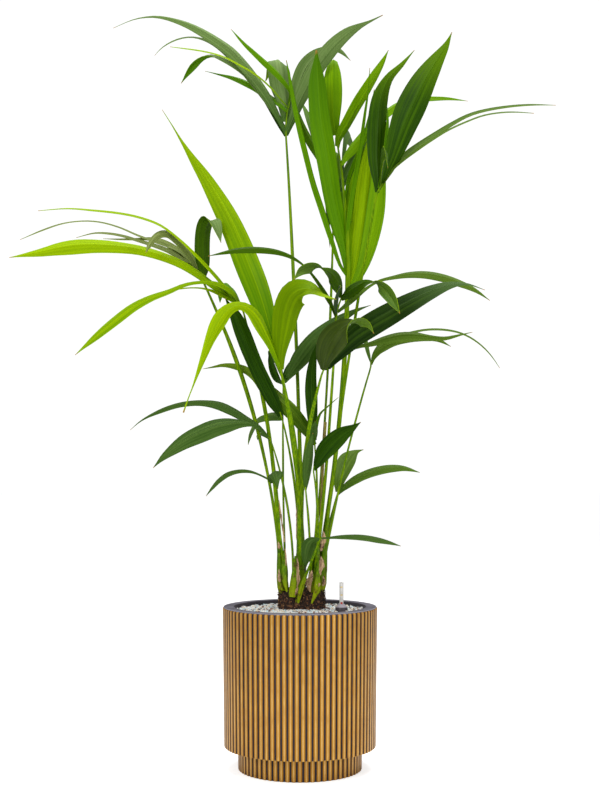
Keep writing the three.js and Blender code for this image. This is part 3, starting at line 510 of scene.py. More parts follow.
def makeRootBall():
    print("root ball")
    random.seed(11)
    centre, half, tilt = rootBall["centre"], rootBall["half"], rootBall["tilt"]
    sideRough, topRough = rootBall["sideRough"], rootBall["topRough"]
    bm = bmesh.new()
    spinProfile(bm, rootBall["outline"], steps=56)
    upper = [edge for edge in bm.edges if max(vert.co.z for vert in edge.verts) > rootBall["fineFrom"]]
    bmesh.ops.subdivide_edges(bm, edges=upper, cuts=3, use_grid_fill=True)
    bmesh.ops.triangulate(bm, faces=bm.faces)
    for vert in bm.verts:
        x, y, z = vert.co
        rough = noise.fractal(Vector((x * 9, y * 9, z * 0.14)), 0.8, 2.2, 4)
        swell = ballReach(math.atan2(y, x)) + (sideRough[0] * rough - sideRough[1])
        lift = y * tilt if z >= rootBall["shoulder"] else 0
        crust = topRough[0] * rough - topRough[1] if z > rootBall["crustFrom"] else 0
        vert.co = (centre[0] + x * swell * half[0], centre[1] + y * swell * half[1], z + lift + crust)
    finishPiece("root_ball_soil", bm, [makeMaterial("soil", soilPaint)], ["root_ball"], sharp=180)

    # crumbs and chips of bark lie on the soil
    shapes = roughPebbles(crumbs["stretch"], crumbs["rough"])
    copies = []
    for _ in range(crumbs["count"]):
        angle = random.uniform(0, fullTurn)
        onTop = random.random() < crumbs["onTop"]
        inward = random.random() ** 0.5 if onTop else 1
        swell = ballReach(angle) * inward
        x = centre[0] + math.cos(angle) * swell * half[0]
        y = centre[1] + math.sin(angle) * swell * half[1]
        if onTop:
            height = crumbs["topHeight"] + math.sin(angle) * swell * tilt
        else:
            height = random.uniform(gravel["level"], crumbs["sideTop"])
        kind = random.randrange(len(shapes))
        size = random.uniform(*crumbs["size"])
        axis = Vector((random.gauss(0, 1), random.gauss(0, 1), random.gauss(0, 1)))
        turn = Matrix.Rotation(random.uniform(0, 6.28), 4, axis)
        look = random.choices(range(len(crumbs["colours"])), crumbs["shares"])[0]
        copies.append((kind, Matrix.Translation((x, y, height)) @ turn @ Matrix.Scale(size, 4), look))
    finishes = [makeMaterial(f"crumb{i}", stonePaint(colour)) for i, colour in enumerate(crumbs["colours"])]
    joinCopies("soil_crumbs", shapes, copies, finishes)


# the water level gauge, each part by its outline round its own upright axis
gauge = {
    "centre": (82, -28),
    "cap": [
        (0, 316.3), (12.3, 316.3), (12.3, 323.6), (11.4, 324.8), (9.8, 326.4), (7.6, 329), (6.2, 331), (4.6, 331),
        (4.6, 327), (0, 327),
    ],
    "tube": [(0, 327.4), (4.1, 327.4), (4.1, 373.2), (3.6, 374), (0, 374)],
    # the cap's domed top is painted pale as the light falling on it, and the skirt below stays dark
    "domeEdge": (324.2, 325.6),  # where the cap turns pale
    "windowFront": (-31.2, -30.6),
    "windowHalf": (1.9, 2.4),
    "marks": [349, 364.5],
    "markHalf": (0.9, 1.5),
    "floatEdge": (334.6, 335.4),
    "capDark": (52, 42, 50),
    "capLitPale": (164, 156, 166),
    "frost": [(202, 200, 196), (224, 222, 218)],
    "markGold": (228, 190, 70),
    "floatRed": (186, 40, 20),
}


def capPaint(tree):
    spot = objectPlace(tree)
    grain = speckle(tree, spot, 900, 3)
    # painted highlight: pale on the domed top, where it faces the light
    litDome = edgeMask(tree, axesOf(tree, spot)[2], gauge["domeEdge"])
    return {
        "Base Color": blend(tree, litDome, paint(*gauge["capDark"]), paint(*gauge["capLitPale"])),
        "Roughness": remap(tree, grain, 0.3, 0.7, 0.35, 0.5),
        "Normal": bump(tree, grain, 0.15, 0.0002),
    }


def tubePaint(tree):
    # frosted, with two marks and the float's red in a narrow window at the front
    spot = objectPlace(tree)
    across, deep, height = axesOf(tree, spot)
    cloud = speckle(tree, spot, 160, 2)
    colour = blend(tree, cloud, *[paint(*frost) for frost in gauge["frost"]])
    facing = edgeMask(tree, deep, gauge["windowFront"], falling=True)
    offMiddle = maths(tree, "ABSOLUTE", maths(tree, "SUBTRACT", across, gauge["centre"][0] * mm))
    narrow = edgeMask(tree, offMiddle, gauge["windowHalf"], falling=True)
    window = maths(tree, "MULTIPLY", narrow, facing)
    for mark in gauge["marks"]:
        off = maths(tree, "ABSOLUTE", maths(tree, "SUBTRACT", height, mark * mm))
        band = maths(tree, "MULTIPLY", edgeMask(tree, off, gauge["markHalf"], falling=True), window)
        colour = blend(tree, maths(tree, "MULTIPLY", band, 0.8), colour, paint(*gauge["markGold"]))
    below = edgeMask(tree, height, gauge["floatEdge"], falling=True)
    colour = blend(tree, maths(tree, "MULTIPLY", below, narrow), colour, paint(*gauge["floatRed"]))
    return {"Base Color": colour, "Roughness": remap(tree, cloud, 0.3, 0.7, 0.22, 0.34)}


def makeGauge():
    print("gauge")
    for name, build in (("cap", capPaint), ("tube", tubePaint)):
        bm = bmesh.new()
        spinProfile(bm, gauge[name], steps=40)
        bmesh.ops.translate(bm, vec=(*gauge["centre"], 0), verts=bm.verts)
        finish = makeMaterial(f"gauge{name.title()}", build)
        finishPiece(f"gauge_{name}_piece", bm, [finish], [f"gauge_{name}"], sharp=40)


def place(point):
    # where a point of the front elevation, with its depth, stands in space
    across, height, depth = point
    spread = 1 + depth / station["distance"]
    return Vector((across * spread, depth, station["eye"] + (height - station["eye"]) * spread))


def bend(start, pull, end):
    # an arc of 64 steps that leaves its start and comes to its end along the pull
    return interpolate_bezier(start, start.lerp(pull, 2 / 3), end.lerp(pull, 2 / 3), end, 65)


def arcPull(root, crest, tip):
    # the pull of the arc from a root to a tip over a crest
    rise = (crest - root).length
    share = rise / (rise + (tip - crest).length)
    left = 1 - share
    return (crest - root * left**2 - tip * share**2) / (2 * share * left)


def smoothPath(knots):
    # a curve through all its knots
    points = [knots[0]]
    ends = [2 * knots[0] - knots[1], *knots, 2 * knots[-1] - knots[-2]]
    for before, start, end, after in zip(ends, ends[1:], ends[2:], ends[3:]):
        span = (end - start).length
        first = (end - before).normalized() * span / 3
        last = (after - start).normalized() * span / 3
        points += interpolate_bezier(start, start + first, end - last, end, 24)[1:]
    return points


def evenStops(points, steps):
    # evenly spaced places along a curve, with the direction at each
    path = np.array(points)
    walked = np.concatenate(([0], np.cumsum(np.linalg.norm(np.diff(path, axis=0), axis=1))))
    goals = np.linspace(0, walked[-1], steps + 1)
    spots = np.stack([np.interp(goals, walked, path[:, axis]) for axis in range(3)], axis=1)
    ways = np.gradient(spots, axis=0)
    return [(Vector(spot), Vector(way).normalized()) for spot, way in zip(spots, ways)]


def carriedSides(stops, middleSide):
    # side vectors carried untwisted from the middle to both ends
    middle = len(stops) // 2
    sides = [None] * len(stops)
    for order in (range(middle, len(stops)), range(middle - 1, -1, -1)):
        side = middleSide if order.step == 1 else sides[middle]
        for i in order:
            way = stops[i][1]
            side = (side - way * side.dot(way)).normalized()
            sides[i] = side
    return sides


def growLimb(bm, points, radii, steps, relief, sides=10, seed=0.0):
    # a closed tapering limb: a ring is extruded from stop to stop
    stops = evenStops(points, steps)
    carried = carriedSides(stops, rightAxis)
    ring = bmesh.ops.create_circle(bm, cap_ends=True, radius=1, segments=sides)["verts"]
    edges = list({edge for vert in ring for edge in vert.link_edges})
    last = Matrix.Identity(4)
    for i, ((spot, way), side) in enumerate(zip(stops, carried)):
        radius = np.interp(i / steps, np.linspace(0, 1, len(radii)), radii)
        turned = Matrix((side * radius, side.cross(way) * radius, way)).transposed().to_4x4()
        turned.translation = spot
        if i:
            made = bmesh.ops.extrude_edge_only(bm, edges=edges)["geom"]
            ring = [item for item in made if isinstance(item, bmesh.types.BMVert)]
            edges = [item for item in made if isinstance(item, bmesh.types.BMEdge)]
        bmesh.ops.transform(bm, matrix=turned @ last.inverted(), verts=ring)
        last = turned
        for vert in ring:
            out = vert.co - spot
            ridge = noise.noise(out.normalized() * 2.2 + Vector((seed, 0, i * 0.12)))
            vert.co += out * ridge * relief
    bmesh.ops.holes_fill(bm, edges=edges, sides=sides)


stems = {
    "left": {"centre": (-34, 30), "ground": 352, "top": 384, "core": 7},
    "front": {"centre": (-10, 8), "ground": 330, "top": 349, "core": 4},
    "middle": {"centre": (0, 34), "ground": 352, "top": 384, "core": 7},
    "inner": {"centre": (26, 18), "ground": 350, "top": 382, "core": 7},
    "right": {"centre": (40, 42), "ground": 354, "top": 386, "core": 7},
}

# A frond's places are across, height and depth as they show from the front: its stalk rises from the
# seat on its stem past via to the top, and the rib runs on to rachis. A leaflet leaves the rib at a share
# of it. Its vein follows a path of knots, where a knot with no depth gets an even share of the tip's, or
# arcs over a crest to a tip. It is turned about its vein by degrees. Widths are in even steps from root to
# tip, as "seen" from the front or as they are, and a look of two names has the shown side first.
fronds = {
    "left_back": {
        "stem": "left", "seat": [-4.5, 3.5], "via": [-76, 640, 32], "top": [-186, 956, 34],
        "rachis": [-212, 1012, 38], "radius": [3.1, 2.8],
        "leaflets": [
            {"at": 0.35, "turn": 35, "look": ("plain", "grey"), "seen": [12, 22, 28, 29, 29, 29, 27, 16, 1],
             "path": [[-191, 1000, 30], [-192, 1045, 26], [-189, 1078, 18], [-181, 1094, 6], [-171, 1084, -8],
                      [-158, 1050, -16]]},
            {"at": 0.6, "turn": 45, "look": "moss", "seen": [10, 14, 17, 18, 16, 12, 9, 7, 1],
             "path": [[-208, 1010], [-222, 1034], [-242, 1056], [-264, 1070], [-284, 1066], [-299, 1049],
                      [-308, 1031, -90]]},
            {"at": 0.7, "turn": 55, "look": "moss", "seen": [8, 13, 15, 14, 12, 8, 6, 4, 1],
             "path": [[-222, 1018], [-240, 1036], [-264, 1052], [-292, 1061], [-325, 1060], [-358, 1059],
                      [-394, 1059, 70]]},
            {"at": 1, "turn": 60, "look": "moss", "seen": [6, 10, 11, 9, 7, 6, 5, 3, 1],
             "path": [[-232, 1020], [-262, 1038], [-292, 1049], [-325, 1058], [-352, 1066], [-382, 1071],
                      [-412, 1071], [-448, 1061, 0]]},
            {"at": 0.9, "turn": 68, "look": "moss", "seen": [5, 6, 5, 3.5, 3, 3, 3, 4, 1],
             "path": [[-240, 1036], [-285, 1053], [-324, 1067], [-362, 1083], [-400, 1093], [-435, 1095],
                      [-475, 1090], [-515, 1077], [-560, 1057, 100]]},
            {"at": 0.5, "turn": 75, "look": "mid", "width": 30, "crest": [-224, 1042], "tip": [-236, 1000, 330]},
        ],
    },
    "left_front": {
        "stem": "left", "seat": [-4.5, -3.5], "via": [-62, 666, 24], "top": [-114, 916, 10],
        "rachis": [-128, 934, 8], "radius": [4, 3.4],
        "leaflets": [
            {"at": 0.6, "turn": 25, "look": "bright", "seen": [8, 14, 17, 19, 22, 28, 31, 17, 1],
             "path": [[-148, 948], [-175, 968], [-205, 990], [-240, 1011], [-280, 1027], [-320, 1038], [-360, 1044],
                      [-400, 1047], [-440, 1047], [-480, 1042], [-520, 1033], [-582, 1021, -60]]},
            {"at": 1, "turn": 66, "look": "bright", "seen": [6, 8, 7, 5, 5, 4.5, 4, 2.5, 1],
             "path": [[-160, 978], [-198, 1019], [-238, 1057], [-278, 1087], [-320, 1103], [-365, 1112],
                      [-415, 1117], [-465, 1120], [-524, 1115, -110]]},
            {"at": 0.4, "turn": 35, "look": "spring", "seen": [12, 17, 9, 9, 13, 18, 18, 13, 1],
             "path": [[-126, 944], [-144, 962], [-170, 972], [-200, 973], [-230, 968], [-262, 955], [-300, 942],
                      [-335, 924], [-368, 899], [-405, 868], [-450, 826, -160]]},
            {"at": 0.2, "turn": 45, "look": "bright", "seen": [5, 7, 8, 7, 4, 3, 3, 3, 1],
             "path": [[-128, 932], [-150, 944], [-176, 956], [-205, 961], [-240, 959], [-280, 950, -20]]},
            {"at": 0.5, "turn": 75, "look": "fresh", "width": 28, "crest": [-150, 970], "tip": [-160, 930, 260]},
        ],
    },
    "middle_back": {
        "stem": "middle", "seat": [-3, 5.5], "via": [-12, 575, 30], "top": [-34, 692, 0], "rachis": [-40, 712, -4],
        "radius": [3.2, 2.6],
        "leaflets": [
            {"at": 0.6, "turn": 10, "look": "dark", "seen": [12, 26, 30, 30, 31, 32, 30, 20, 1],
             "path": [[-52, 733], [-69, 767], [-85, 800], [-101, 838], [-114, 872], [-129, 906], [-150, 940, -30]]},
            {"at": 0.3, "turn": 75, "look": "mid", "width": 32, "crest": [-84, 700], "tip": [-104, 646, 320]},
        ],
    },
    "inner_back": {
        "stem": "left", "seat": [4.5, 3.5], "via": [-34, 576, 28], "top": [-34, 760, 22], "rachis": [-32, 778, 22],
        "radius": [2.4, 2],
        "leaflets": [
            {"at": 0.7, "turn": 20, "look": "blue", "seen": [10, 24, 36, 38, 36, 28, 18, 8, 1],
             "path": [[-17, 797], [2, 826], [24, 853], [50, 877], [80, 899], [110, 915], [142, 926, 40]]},
            {"at": 1, "turn": 40, "look": "dark", "seen": [8, 16, 20, 20, 18, 15, 12, 7, 1],
             "path": [[-22, 800], [-4, 822], [18, 838], [44, 860, 60]]},
            {"at": 0.5, "turn": 50, "look": "dark", "seen": [6, 12, 15, 16, 15, 13, 10, 5, 1],
             "path": [[-42, 778], [-51, 800], [-62, 836, 40]]},
            {"at": 0.9, "turn": 75, "look": "mid", "width": 28, "crest": [-50, 830], "tip": [-56, 796, 320]},
        ],
    },
    "middle_front": {
        "stem": "middle", "seat": [-4, -4], "via": [-6, 596, -34], "top": [-36, 786, -90],
        "rachis": [-42, 812, -94], "radius": [4.9, 4],
        "leaflets": [
            {"at": 1, "turn": 12, "look": "sprout", "seen": [10, 30, 46, 51, 47, 39, 24, 6, 1],
             "path": [[-52, 850, -84], [-77, 938, -50], [-107, 1018, -6], [-140, 1096, 18], [-185, 1176, 36],
                      [-212, 1216, 40], [-238, 1256, 44], [-256, 1286, 44], [-276, 1317, 40]]},
            {"at": 0.4, "turn": [0, 0, 0, 5, 15, 45, 65, 65, 60], "look": ("fold", "spring"),
             "seen": [12, 28, 45, 52, 52, 30, 13, 8, 1],
             "path": [[-40, 830, -100], [-34, 880, -112], [-26, 922, -130], [-13, 948, -152], [10, 958, -180],
                      [32, 955, -215], [52, 946, -250], [72, 938, -300]]},
            {"at": 0.6, "turn": 15, "look": "bright", "seen": [9, 20, 32, 17, 28, 18, 9, 2.5, 3],
             "path": [[-52, 836], [-67, 870], [-82, 900], [-100, 919], [-122, 926], [-144, 916], [-162, 892],
                      [-177, 862], [-190, 828], [-202, 796], [-213, 766], [-223, 740], [-233, 711, -250]]},
        ],
    },
    "small_left": {
        "stem": "left", "seat": [4, -4.5], "via": [-38, 456, 8], "top": [-50, 560, -20], "rachis": [-53, 572, -23],
        "radius": [3, 2.3],
        "leaflets": [
            {"at": 0.8, "turn": 45, "look": "blue", "seen": [3, 4, 4.5, 7, 8.5, 10, 9, 6, 1],
             "path": [[-61, 577], [-80, 587], [-100, 594], [-122, 595], [-145, 589], [-163, 576], [-176, 561],
                      [-188, 544, -40]]},
            {"at": 1, "turn": 0, "look": ("blue", "blue"), "seen": [12, 26, 32, 33, 31, 26, 17, 9, 1],
             "path": [[-52, 586, -42], [-50, 595, -62], [-49, 588, -86], [-47, 574, -100], [-44, 558, -108]]},
        ],
    },
    "low_left": {
        "stem": "front", "seat": [-4, 2], "via": [-24, 516, -2], "top": [-56, 648, -22], "rachis": [-64, 662, -26],
        "radius": [2.8, 2.3],
        "leaflets": [
            {"at": 1, "turn": 45, "look": "blue", "seen": [6, 10, 15, 17, 13, 12, 11, 5, 1],
             "path": [[-76, 676], [-90, 689], [-110, 701], [-135, 716], [-165, 729], [-200, 733], [-235, 730],
                      [-265, 722], [-295, 709], [-320, 694], [-340, 676, 60]]},
            {"at": 0.5, "turn": 20, "look": "blue", "seen": [5, 6, 15, 31, 36, 34, 26, 14, 1],
             "path": [[-72, 670], [-90, 686], [-112, 690], [-140, 689], [-170, 683], [-200, 671], [-230, 656],
                      [-255, 638], [-275, 621], [-294, 600, -90]]},
            {"at": 0.7, "turn": 75, "look": "mid", "width": 13, "crest": [-79, 670], "tip": [-85, 656, 190]},
        ],
    },
    "top": {
        "stem": "middle", "seat": [4.5, 2.5], "via": [-6, 816, 56], "top": [-28, 1262, 60],
        "rachis": [-20, 1336, 62], "radius": [3.9, 2.9],
        "leaflets": [
            {"at": 0.16, "turn": 35, "look": "grey", "seen": [8, 16, 22, 25, 23, 18, 9, 3, 1],
             "path": [[-44, 1308], [-64, 1346], [-86, 1378], [-110, 1408], [-136, 1436], [-162, 1455], [-190, 1472],
                      [-220, 1487], [-250, 1497], [-280, 1503], [-304, 1503], [-334, 1497], [-374, 1480, 20]]},
            {"at": 0.24, "turn": 45, "look": "grey", "seen": [8, 12, 16, 18, 17, 11, 5, 5, 1],
             "path": [[-62, 1334], [-92, 1376], [-121, 1411], [-150, 1437], [-176, 1453], [-200, 1461],
                      [-222, 1463], [-244, 1459], [-264, 1450], [-280, 1438], [-291, 1425, 90]]},
            {"at": 0.8, "turn": 66, "look": "bright", "seen": [3, 4, 4.5, 4.5, 4, 3.5, 3, 2.5, 1],
             "path": [[-36, 1336], [-58, 1362], [-80, 1382], [-100, 1396], [-122, 1408], [-142, 1419], [-162, 1427],
                      [-185, 1433], [-215, 1438], [-260, 1443, -50]]},
            {"at": 0.12, "turn": [30, 40, 40, 40, 45, 55, 90, 140, 150], "look": ("grey", "summer"),
             "widths": [8, 13, 16, 18, 20, 20, 17, 15, 1],
             "path": [[-44, 1303], [-62, 1334], [-82, 1364], [-106, 1390], [-130, 1408], [-156, 1421], [-180, 1427],
                      [-199, 1420], [-214, 1405], [-226, 1388], [-238, 1369, 50]]},
            {"at": 0.7, "turn": 35, "look": "summer", "seen": [8, 12, 15, 18, 16, 14, 9, 4, 1],
             "path": [[-40, 1329], [-64, 1346], [-84, 1361], [-103, 1370], [-122, 1378], [-142, 1384], [-162, 1388],
                      [-190, 1394, 110]]},
            {"at": 0.9, "turn": 40, "look": "fresh", "seen": [5, 8, 12, 15, 15, 13, 10, 6, 1],
             "path": [[-18, 1352], [-26, 1367], [-40, 1385], [-56, 1401], [-73, 1416], [-92, 1433], [-112, 1451],
                      [-138, 1478, 0]]},
            {"at": 0.4, "turn": 30, "look": ("grey", "bright"), "seen": [14, 24, 34, 43, 46, 46, 36, 18, 2],
             "path": [[-28, 1330, 70], [-34, 1368, 76], [-38, 1402, 84], [-44, 1417, 100], [-58, 1405, 118],
                      [-69, 1374, 128]]},
            {"at": 0.05, "turn": 20, "look": "grey", "seen": [10, 17, 25, 31, 32, 29, 21, 7, 1.5],
             "path": [[-14, 1300], [0, 1335], [17, 1368], [34, 1400], [52, 1425], [73, 1449], [96, 1469],
                      [119, 1483], [140, 1493], [166, 1506, -20]]},
            {"at": 0.5, "turn": 30, "look": ("grey", "mid"), "seen": [8, 14, 22, 28, 28, 22, 13, 9, 1],
             "path": [[-12, 1338], [0, 1374], [14, 1405], [34, 1427], [56, 1437], [78, 1436], [101, 1415, 130]]},
            {"at": 0.03, "turn": 30, "look": "dark", "seen": [6, 11, 14, 15, 14, 12, 9, 5, 1],
             "path": [[-42, 1294, 64], [-57, 1324, 68], [-76, 1354, 72], [-104, 1386, 78], [-130, 1410, 84]]},
            {"at": 0.6, "turn": 75, "look": "mid", "width": 30, "crest": [-14, 1368], "tip": [-16, 1340, 340]},
        ],
    },
    "upright": {
        "stem": "right", "seat": [-5.4, 1.7], "via": [80, 706, 32], "top": [95, 952, 12], "rachis": [72, 1266, 36],
        "radius": [3.8, 3.6],
        "leaflets": [
            {"at": 0.09, "turn": 15, "look": "summer", "seen": [8, 22, 33, 36, 40, 43, 40, 32, 3],
             "path": [[90, 1040], [77, 1096], [67, 1144], [60, 1190], [53, 1236], [45, 1280], [40, 1320],
                      [37, 1360], [35, 1398], [33, 1436, -30]]},
            {"at": 0.1, "turn": 45, "look": "fresh", "seen": [6, 9, 12, 13, 12, 12, 11, 8, 1.5],
             "path": [[82, 1006], [64, 1060], [46, 1118], [28, 1173], [13, 1232], [0, 1286], [-11, 1336],
                      [-19, 1378], [-27, 1416, -70]]},
            {"at": 1, "turn": 0, "fold": 0.25, "look": ("lime", "grey"),
             "seen": [14, 24, 33, 38, 38, 32, 18, 16, 8],
             "path": [[67, 1300, 34], [66, 1345, 40], [66, 1388, 48], [67, 1415, 62], [67, 1412, 84],
                      [65, 1380, 98]]},
            {"at": 0.92, "turn": 35, "look": "lime", "seen": [10, 17, 20, 21, 21, 19, 16, 10, 1],
             "path": [[80, 1262], [96, 1290], [116, 1326], [134, 1356], [152, 1386], [166, 1411], [177, 1436, 50]]},
            {"at": 0.8, "turn": 35, "look": "lime", "seen": [8, 20, 22, 20, 19, 18, 16, 10, 1],
             "path": [[98, 1232], [122, 1262], [148, 1291], [176, 1315], [205, 1333], [235, 1341], [265, 1342],
                      [296, 1341], [336, 1334, 100]]},
            {"at": 0.3, "turn": 60, "look": "fresh", "seen": [5, 8, 9, 9, 8, 7, 5, 3, 1],
             "path": [[104, 1120], [114, 1180], [124, 1245], [132, 1310], [137, 1350], [140, 1400, 20]]},
            {"at": 0.07, "turn": 20, "look": "lime", "seen": [5, 10, 16, 22, 24, 22, 16, 8, 1],
             "path": [[101, 1025], [103, 1078], [105, 1130], [112, 1180], [122, 1225], [134, 1268, 60]]},
            {"at": 0.04, "turn": 10, "look": "spring", "seen": [8, 20, 29, 34, 37, 35, 27, 14, 1],
             "path": [[105, 985], [113, 1025], [121, 1075], [128, 1125], [133, 1175], [137, 1225],
                      [146, 1290, 40]]},
            {"at": 0.02, "turn": 10, "look": "lime", "seen": [8, 20, 30, 36, 38, 34, 26, 13, 1],
             "path": [[112, 975], [129, 1012], [143, 1062], [152, 1110], [157, 1156], [159, 1205],
                      [158, 1290, 30]]},
            {"at": 0.55, "turn": 50, "look": "fresh", "seen": [4, 6, 8, 9, 9, 8, 7, 5, 1.5],
             "path": [[100, 1180], [124, 1240], [143, 1310], [149, 1357, 50]]},
            {"at": 0.4, "turn": 75, "look": "mid", "width": 34, "crest": [104, 1120], "tip": [116, 1046, 380]},
            {"at": 0.7, "turn": 75, "look": "mid", "width": 34, "crest": [100, 1262], "tip": [110, 1216, 400]},
        ],
    },
    "right_front": {
        "stem": "right", "seat": [3.3, -4.6], "via": [90, 766, -10], "top": [152, 1142, -80],
        "rachis": [166, 1170, -86], "radius": [3.8, 3],
        "leaflets": [
            {"at": 0.3, "turn": 15, "look": "glossFar", "seen": [8, 24, 33, 37, 36, 31, 18, 9, 1],
             "path": [[156, 1182], [154, 1220], [155, 1260], [157, 1300], [161, 1334], [169, 1362], [182, 1385],
                      [203, 1406], [229, 1436, -40]]},
            {"at": 0.7, "turn": 8, "look": "glossFar", "seen": [8, 24, 38, 50, 56, 51, 38, 19, 1],
             "path": [[172, 1188], [186, 1222], [198, 1257], [212, 1296], [230, 1336], [250, 1376], [273, 1414],
                      [292, 1444], [304, 1472, -170]]},
            {"at": 0.5, "turn": 55, "look": "leaf", "seen": [5, 9, 14, 13, 10, 8, 7, 5, 1],
             "path": [[172, 1186], [191, 1212], [213, 1234], [240, 1253], [270, 1272], [300, 1290], [335, 1308],
                      [370, 1318], [415, 1325], [460, 1328], [512, 1326, -60]]},
            {"at": 1, "turn": 66, "look": "leaf", "seen": [4, 5, 5, 4.5, 4, 3.5, 3, 2.5, 1],
             "path": [[182, 1196], [205, 1217], [235, 1239], [265, 1259], [295, 1277], [330, 1293], [365, 1306],
                      [400, 1312], [430, 1313], [468, 1310, -160]]},
            {"at": 0.6, "turn": 55, "look": "fresh", "seen": [4, 6, 8, 9, 8, 7, 5, 3, 1],
             "path": [[172, 1215, -80], [176, 1260, -66], [177, 1300, -50], [172, 1340, -30]]},
            {"at": 0.8, "turn": 75, "look": "plain", "width": 26, "crest": [172, 1228], "tip": [176, 1200, -350]},
        ],
    },
    "far_back": {
        "stem": "inner", "seat": [0, 5.6], "via": [52, 736, 68], "top": [66, 1086, 140], "rachis": [58, 1186, 150],
        "radius": [3.1, 2.7],
        "leaflets": [
            {"at": 1, "turn": 30, "look": "mid", "seen": [8, 14, 18, 19, 18, 16, 12, 7, 1],
             "path": [[40, 1224], [22, 1254], [6, 1284], [-8, 1318], [-26, 1352, 160]]},
            {"at": 0.9, "turn": 40, "look": "mid", "width": 28, "crest": [26, 1290], "tip": [2, 1334, 260]},
            {"at": 0.6, "turn": 30, "look": "blue", "seen": [8, 14, 18, 21, 22, 21, 17, 10, 1],
             "path": [[76, 1152], [92, 1182], [110, 1214], [130, 1244], [160, 1280, 140]]},
            {"at": 0.8, "turn": 75, "look": "mid", "width": 34, "crest": [66, 1236], "tip": [90, 1106, 450]},
            {"at": 0.5, "turn": 75, "look": "dark", "width": 34, "crest": [60, 1166], "tip": [60, 1040, 410]},
            {"at": 0.05, "turn": 75, "look": "mid", "width": 32, "crest": [120, 1100], "tip": [150, 1040, 330]},
        ],
    },
    "centre_front": {
        "stem": "inner", "seat": [5.4, 1.7], "via": [58, 666, -12], "top": [72, 892, -60], "rachis": [84, 942, -66],
        "radius": [3.1, 2.6],
        "leaflets": [
            {"at": 1, "turn": [40, 20, 20, 40, 62, 118, 140, 150, 150], "look": ("plain", "under"),
             "widths": [10, 26, 28, 22, 20, 22, 20, 14, 1],
             "path": [[80, 960, -90], [70, 981, -120], [54, 995, -160], [36, 1002, -200], [16, 1001, -240],
                      [0, 993, -275], [-12, 977, -310]]},
            {"at": 0.2, "turn": 40, "look": "plain", "seen": [6, 13, 9, 5, 9, 13, 13, 8, 1],
             "path": [[64, 930], [50, 954], [34, 977], [18, 996], [2, 1011], [-20, 1025], [-50, 1035], [-90, 1039],
                      [-130, 1036], [-184, 1024, -150]]},
            {"at": 0.9, "turn": [20, 20, 25, 40, 62, 125, 150, 155, 155], "look": ("plain", "under"),
             "widths": [8, 24, 26, 22, 19, 22, 24, 18, 1],
             "path": [[94, 950], [112, 963], [132, 972], [151, 971], [168, 959], [184, 939], [200, 909, -280]]},
            {"at": 0.4, "turn": 30, "look": "leaf", "seen": [6, 13, 6, 8, 14, 17, 16, 10, 1],
             "path": [[92, 928], [112, 946], [135, 962], [158, 975], [185, 982], [216, 988], [250, 989], [285, 983],
                      [318, 972], [350, 957], [380, 935, -110]]},
            {"at": 0.3, "turn": 75, "look": "dark", "width": 24, "crest": [78, 946], "tip": [82, 962, -250]},
        ],
    },
    "broad_right": {
        "stem": "middle", "seat": [5, -3], "via": [8, 596, -8], "top": [44, 790, -110], "rachis": [55, 805, -116],
        "radius": [4.6, 3.6],
        "leaflets": [
            {"at": 0.3, "turn": [10, 5, 5, 10, 25, 50, 115, 140, 140], "look": ("olive", "leaf"),
             "widths": [12, 34, 48, 52, 46, 34, 22, 14, 1],
             "path": [[49, 820, -150], [60, 850, -190], [78, 874, -225], [100, 889, -260], [122, 894, -290],
                      [138, 887, -312], [148, 869, -330]]},
            {"at": 0.8, "turn": 15, "look": "broad", "seen": [16, 36, 45, 46, 42, 34, 22, 6, 1],
             "path": [[78, 838], [106, 866], [140, 889], [180, 912], [220, 934], [260, 953], [298, 966], [334, 968],
                      [370, 956, -170]]},
            {"at": 1, "turn": 40, "look": "leaf", "seen": [5, 5, 7, 14, 21, 20, 12, 6, 1],
             "path": [[82, 828], [112, 842], [142, 850], [172, 860], [205, 867], [235, 867], [262, 863], [290, 861],
                      [316, 866], [345, 872, -60]]},
        ],
    },
    "arching_right": {
        "stem": "right", "seat": [5.4, 1.7], "via": [86, 596, 34], "top": [140, 796, 20], "rachis": [142, 814, 22],
        "radius": [2.9, 2.1],
        "leaflets": [
            {"at": 0.6, "turn": 30, "look": "leaf", "seen": [5, 16, 22, 20, 18, 14, 10, 7, 1],
             "path": [[146, 824], [157, 840], [177, 852], [206, 860], [242, 861], [276, 857], [302, 843, -20]]},
            {"at": 1, "turn": 60, "look": "leaf", "seen": [4, 7, 8, 5, 5, 4.5, 4, 3, 1],
             "path": [[160, 842], [195, 864], [232, 875], [262, 879], [292, 878], [320, 872], [345, 860],
                      [367, 843], [384, 824], [400, 800, 60]]},
            {"at": 0.8, "turn": 60, "look": "mid", "width": 22, "crest": [136, 850], "tip": [128, 880, 200]},
        ],
    },
    "low_right": {
        "stem": "right", "seat": [0, 5.6], "via": [52, 452, 58], "top": [72, 538, 66], "rachis": [76, 552, 70],
        "radius": [3.3, 3],
        "leaflets": [
            {"at": 0.7, "turn": 30, "look": "under", "seen": [6, 13, 17, 18, 18, 17, 14, 8, 1],
             "path": [[88, 562], [108, 577], [132, 589], [158, 597], [185, 601], [210, 600], [240, 591, 60]]},
            {"at": 1, "turn": 0, "look": "leaf", "seen": [10, 24, 32, 36, 37, 34, 24, 10, 2],
             "path": [[80, 580, 90], [88, 602, 120], [99, 622, 160], [112, 634, 210], [127, 637, 240]]},
        ],
    },
    "lowest": {
        "stem": "front", "seat": [4, -3], "via": [12, 388, -22], "top": [38, 452, -60], "rachis": [43, 460, -66],
        "radius": [2.8, 2.4],
        "leaflets": [
            {"at": 1, "turn": 45, "look": "blue", "seen": [3, 5, 8, 10, 11, 11, 10, 6, 1],
             "path": [[56, 461], [75, 463], [100, 464], [125, 463], [150, 459], [175, 453], [202, 444, -90]]},
            {"at": 0.6, "turn": [0, 5, 5, 5, 0, 0, 0, 0, 0], "look": "blue",
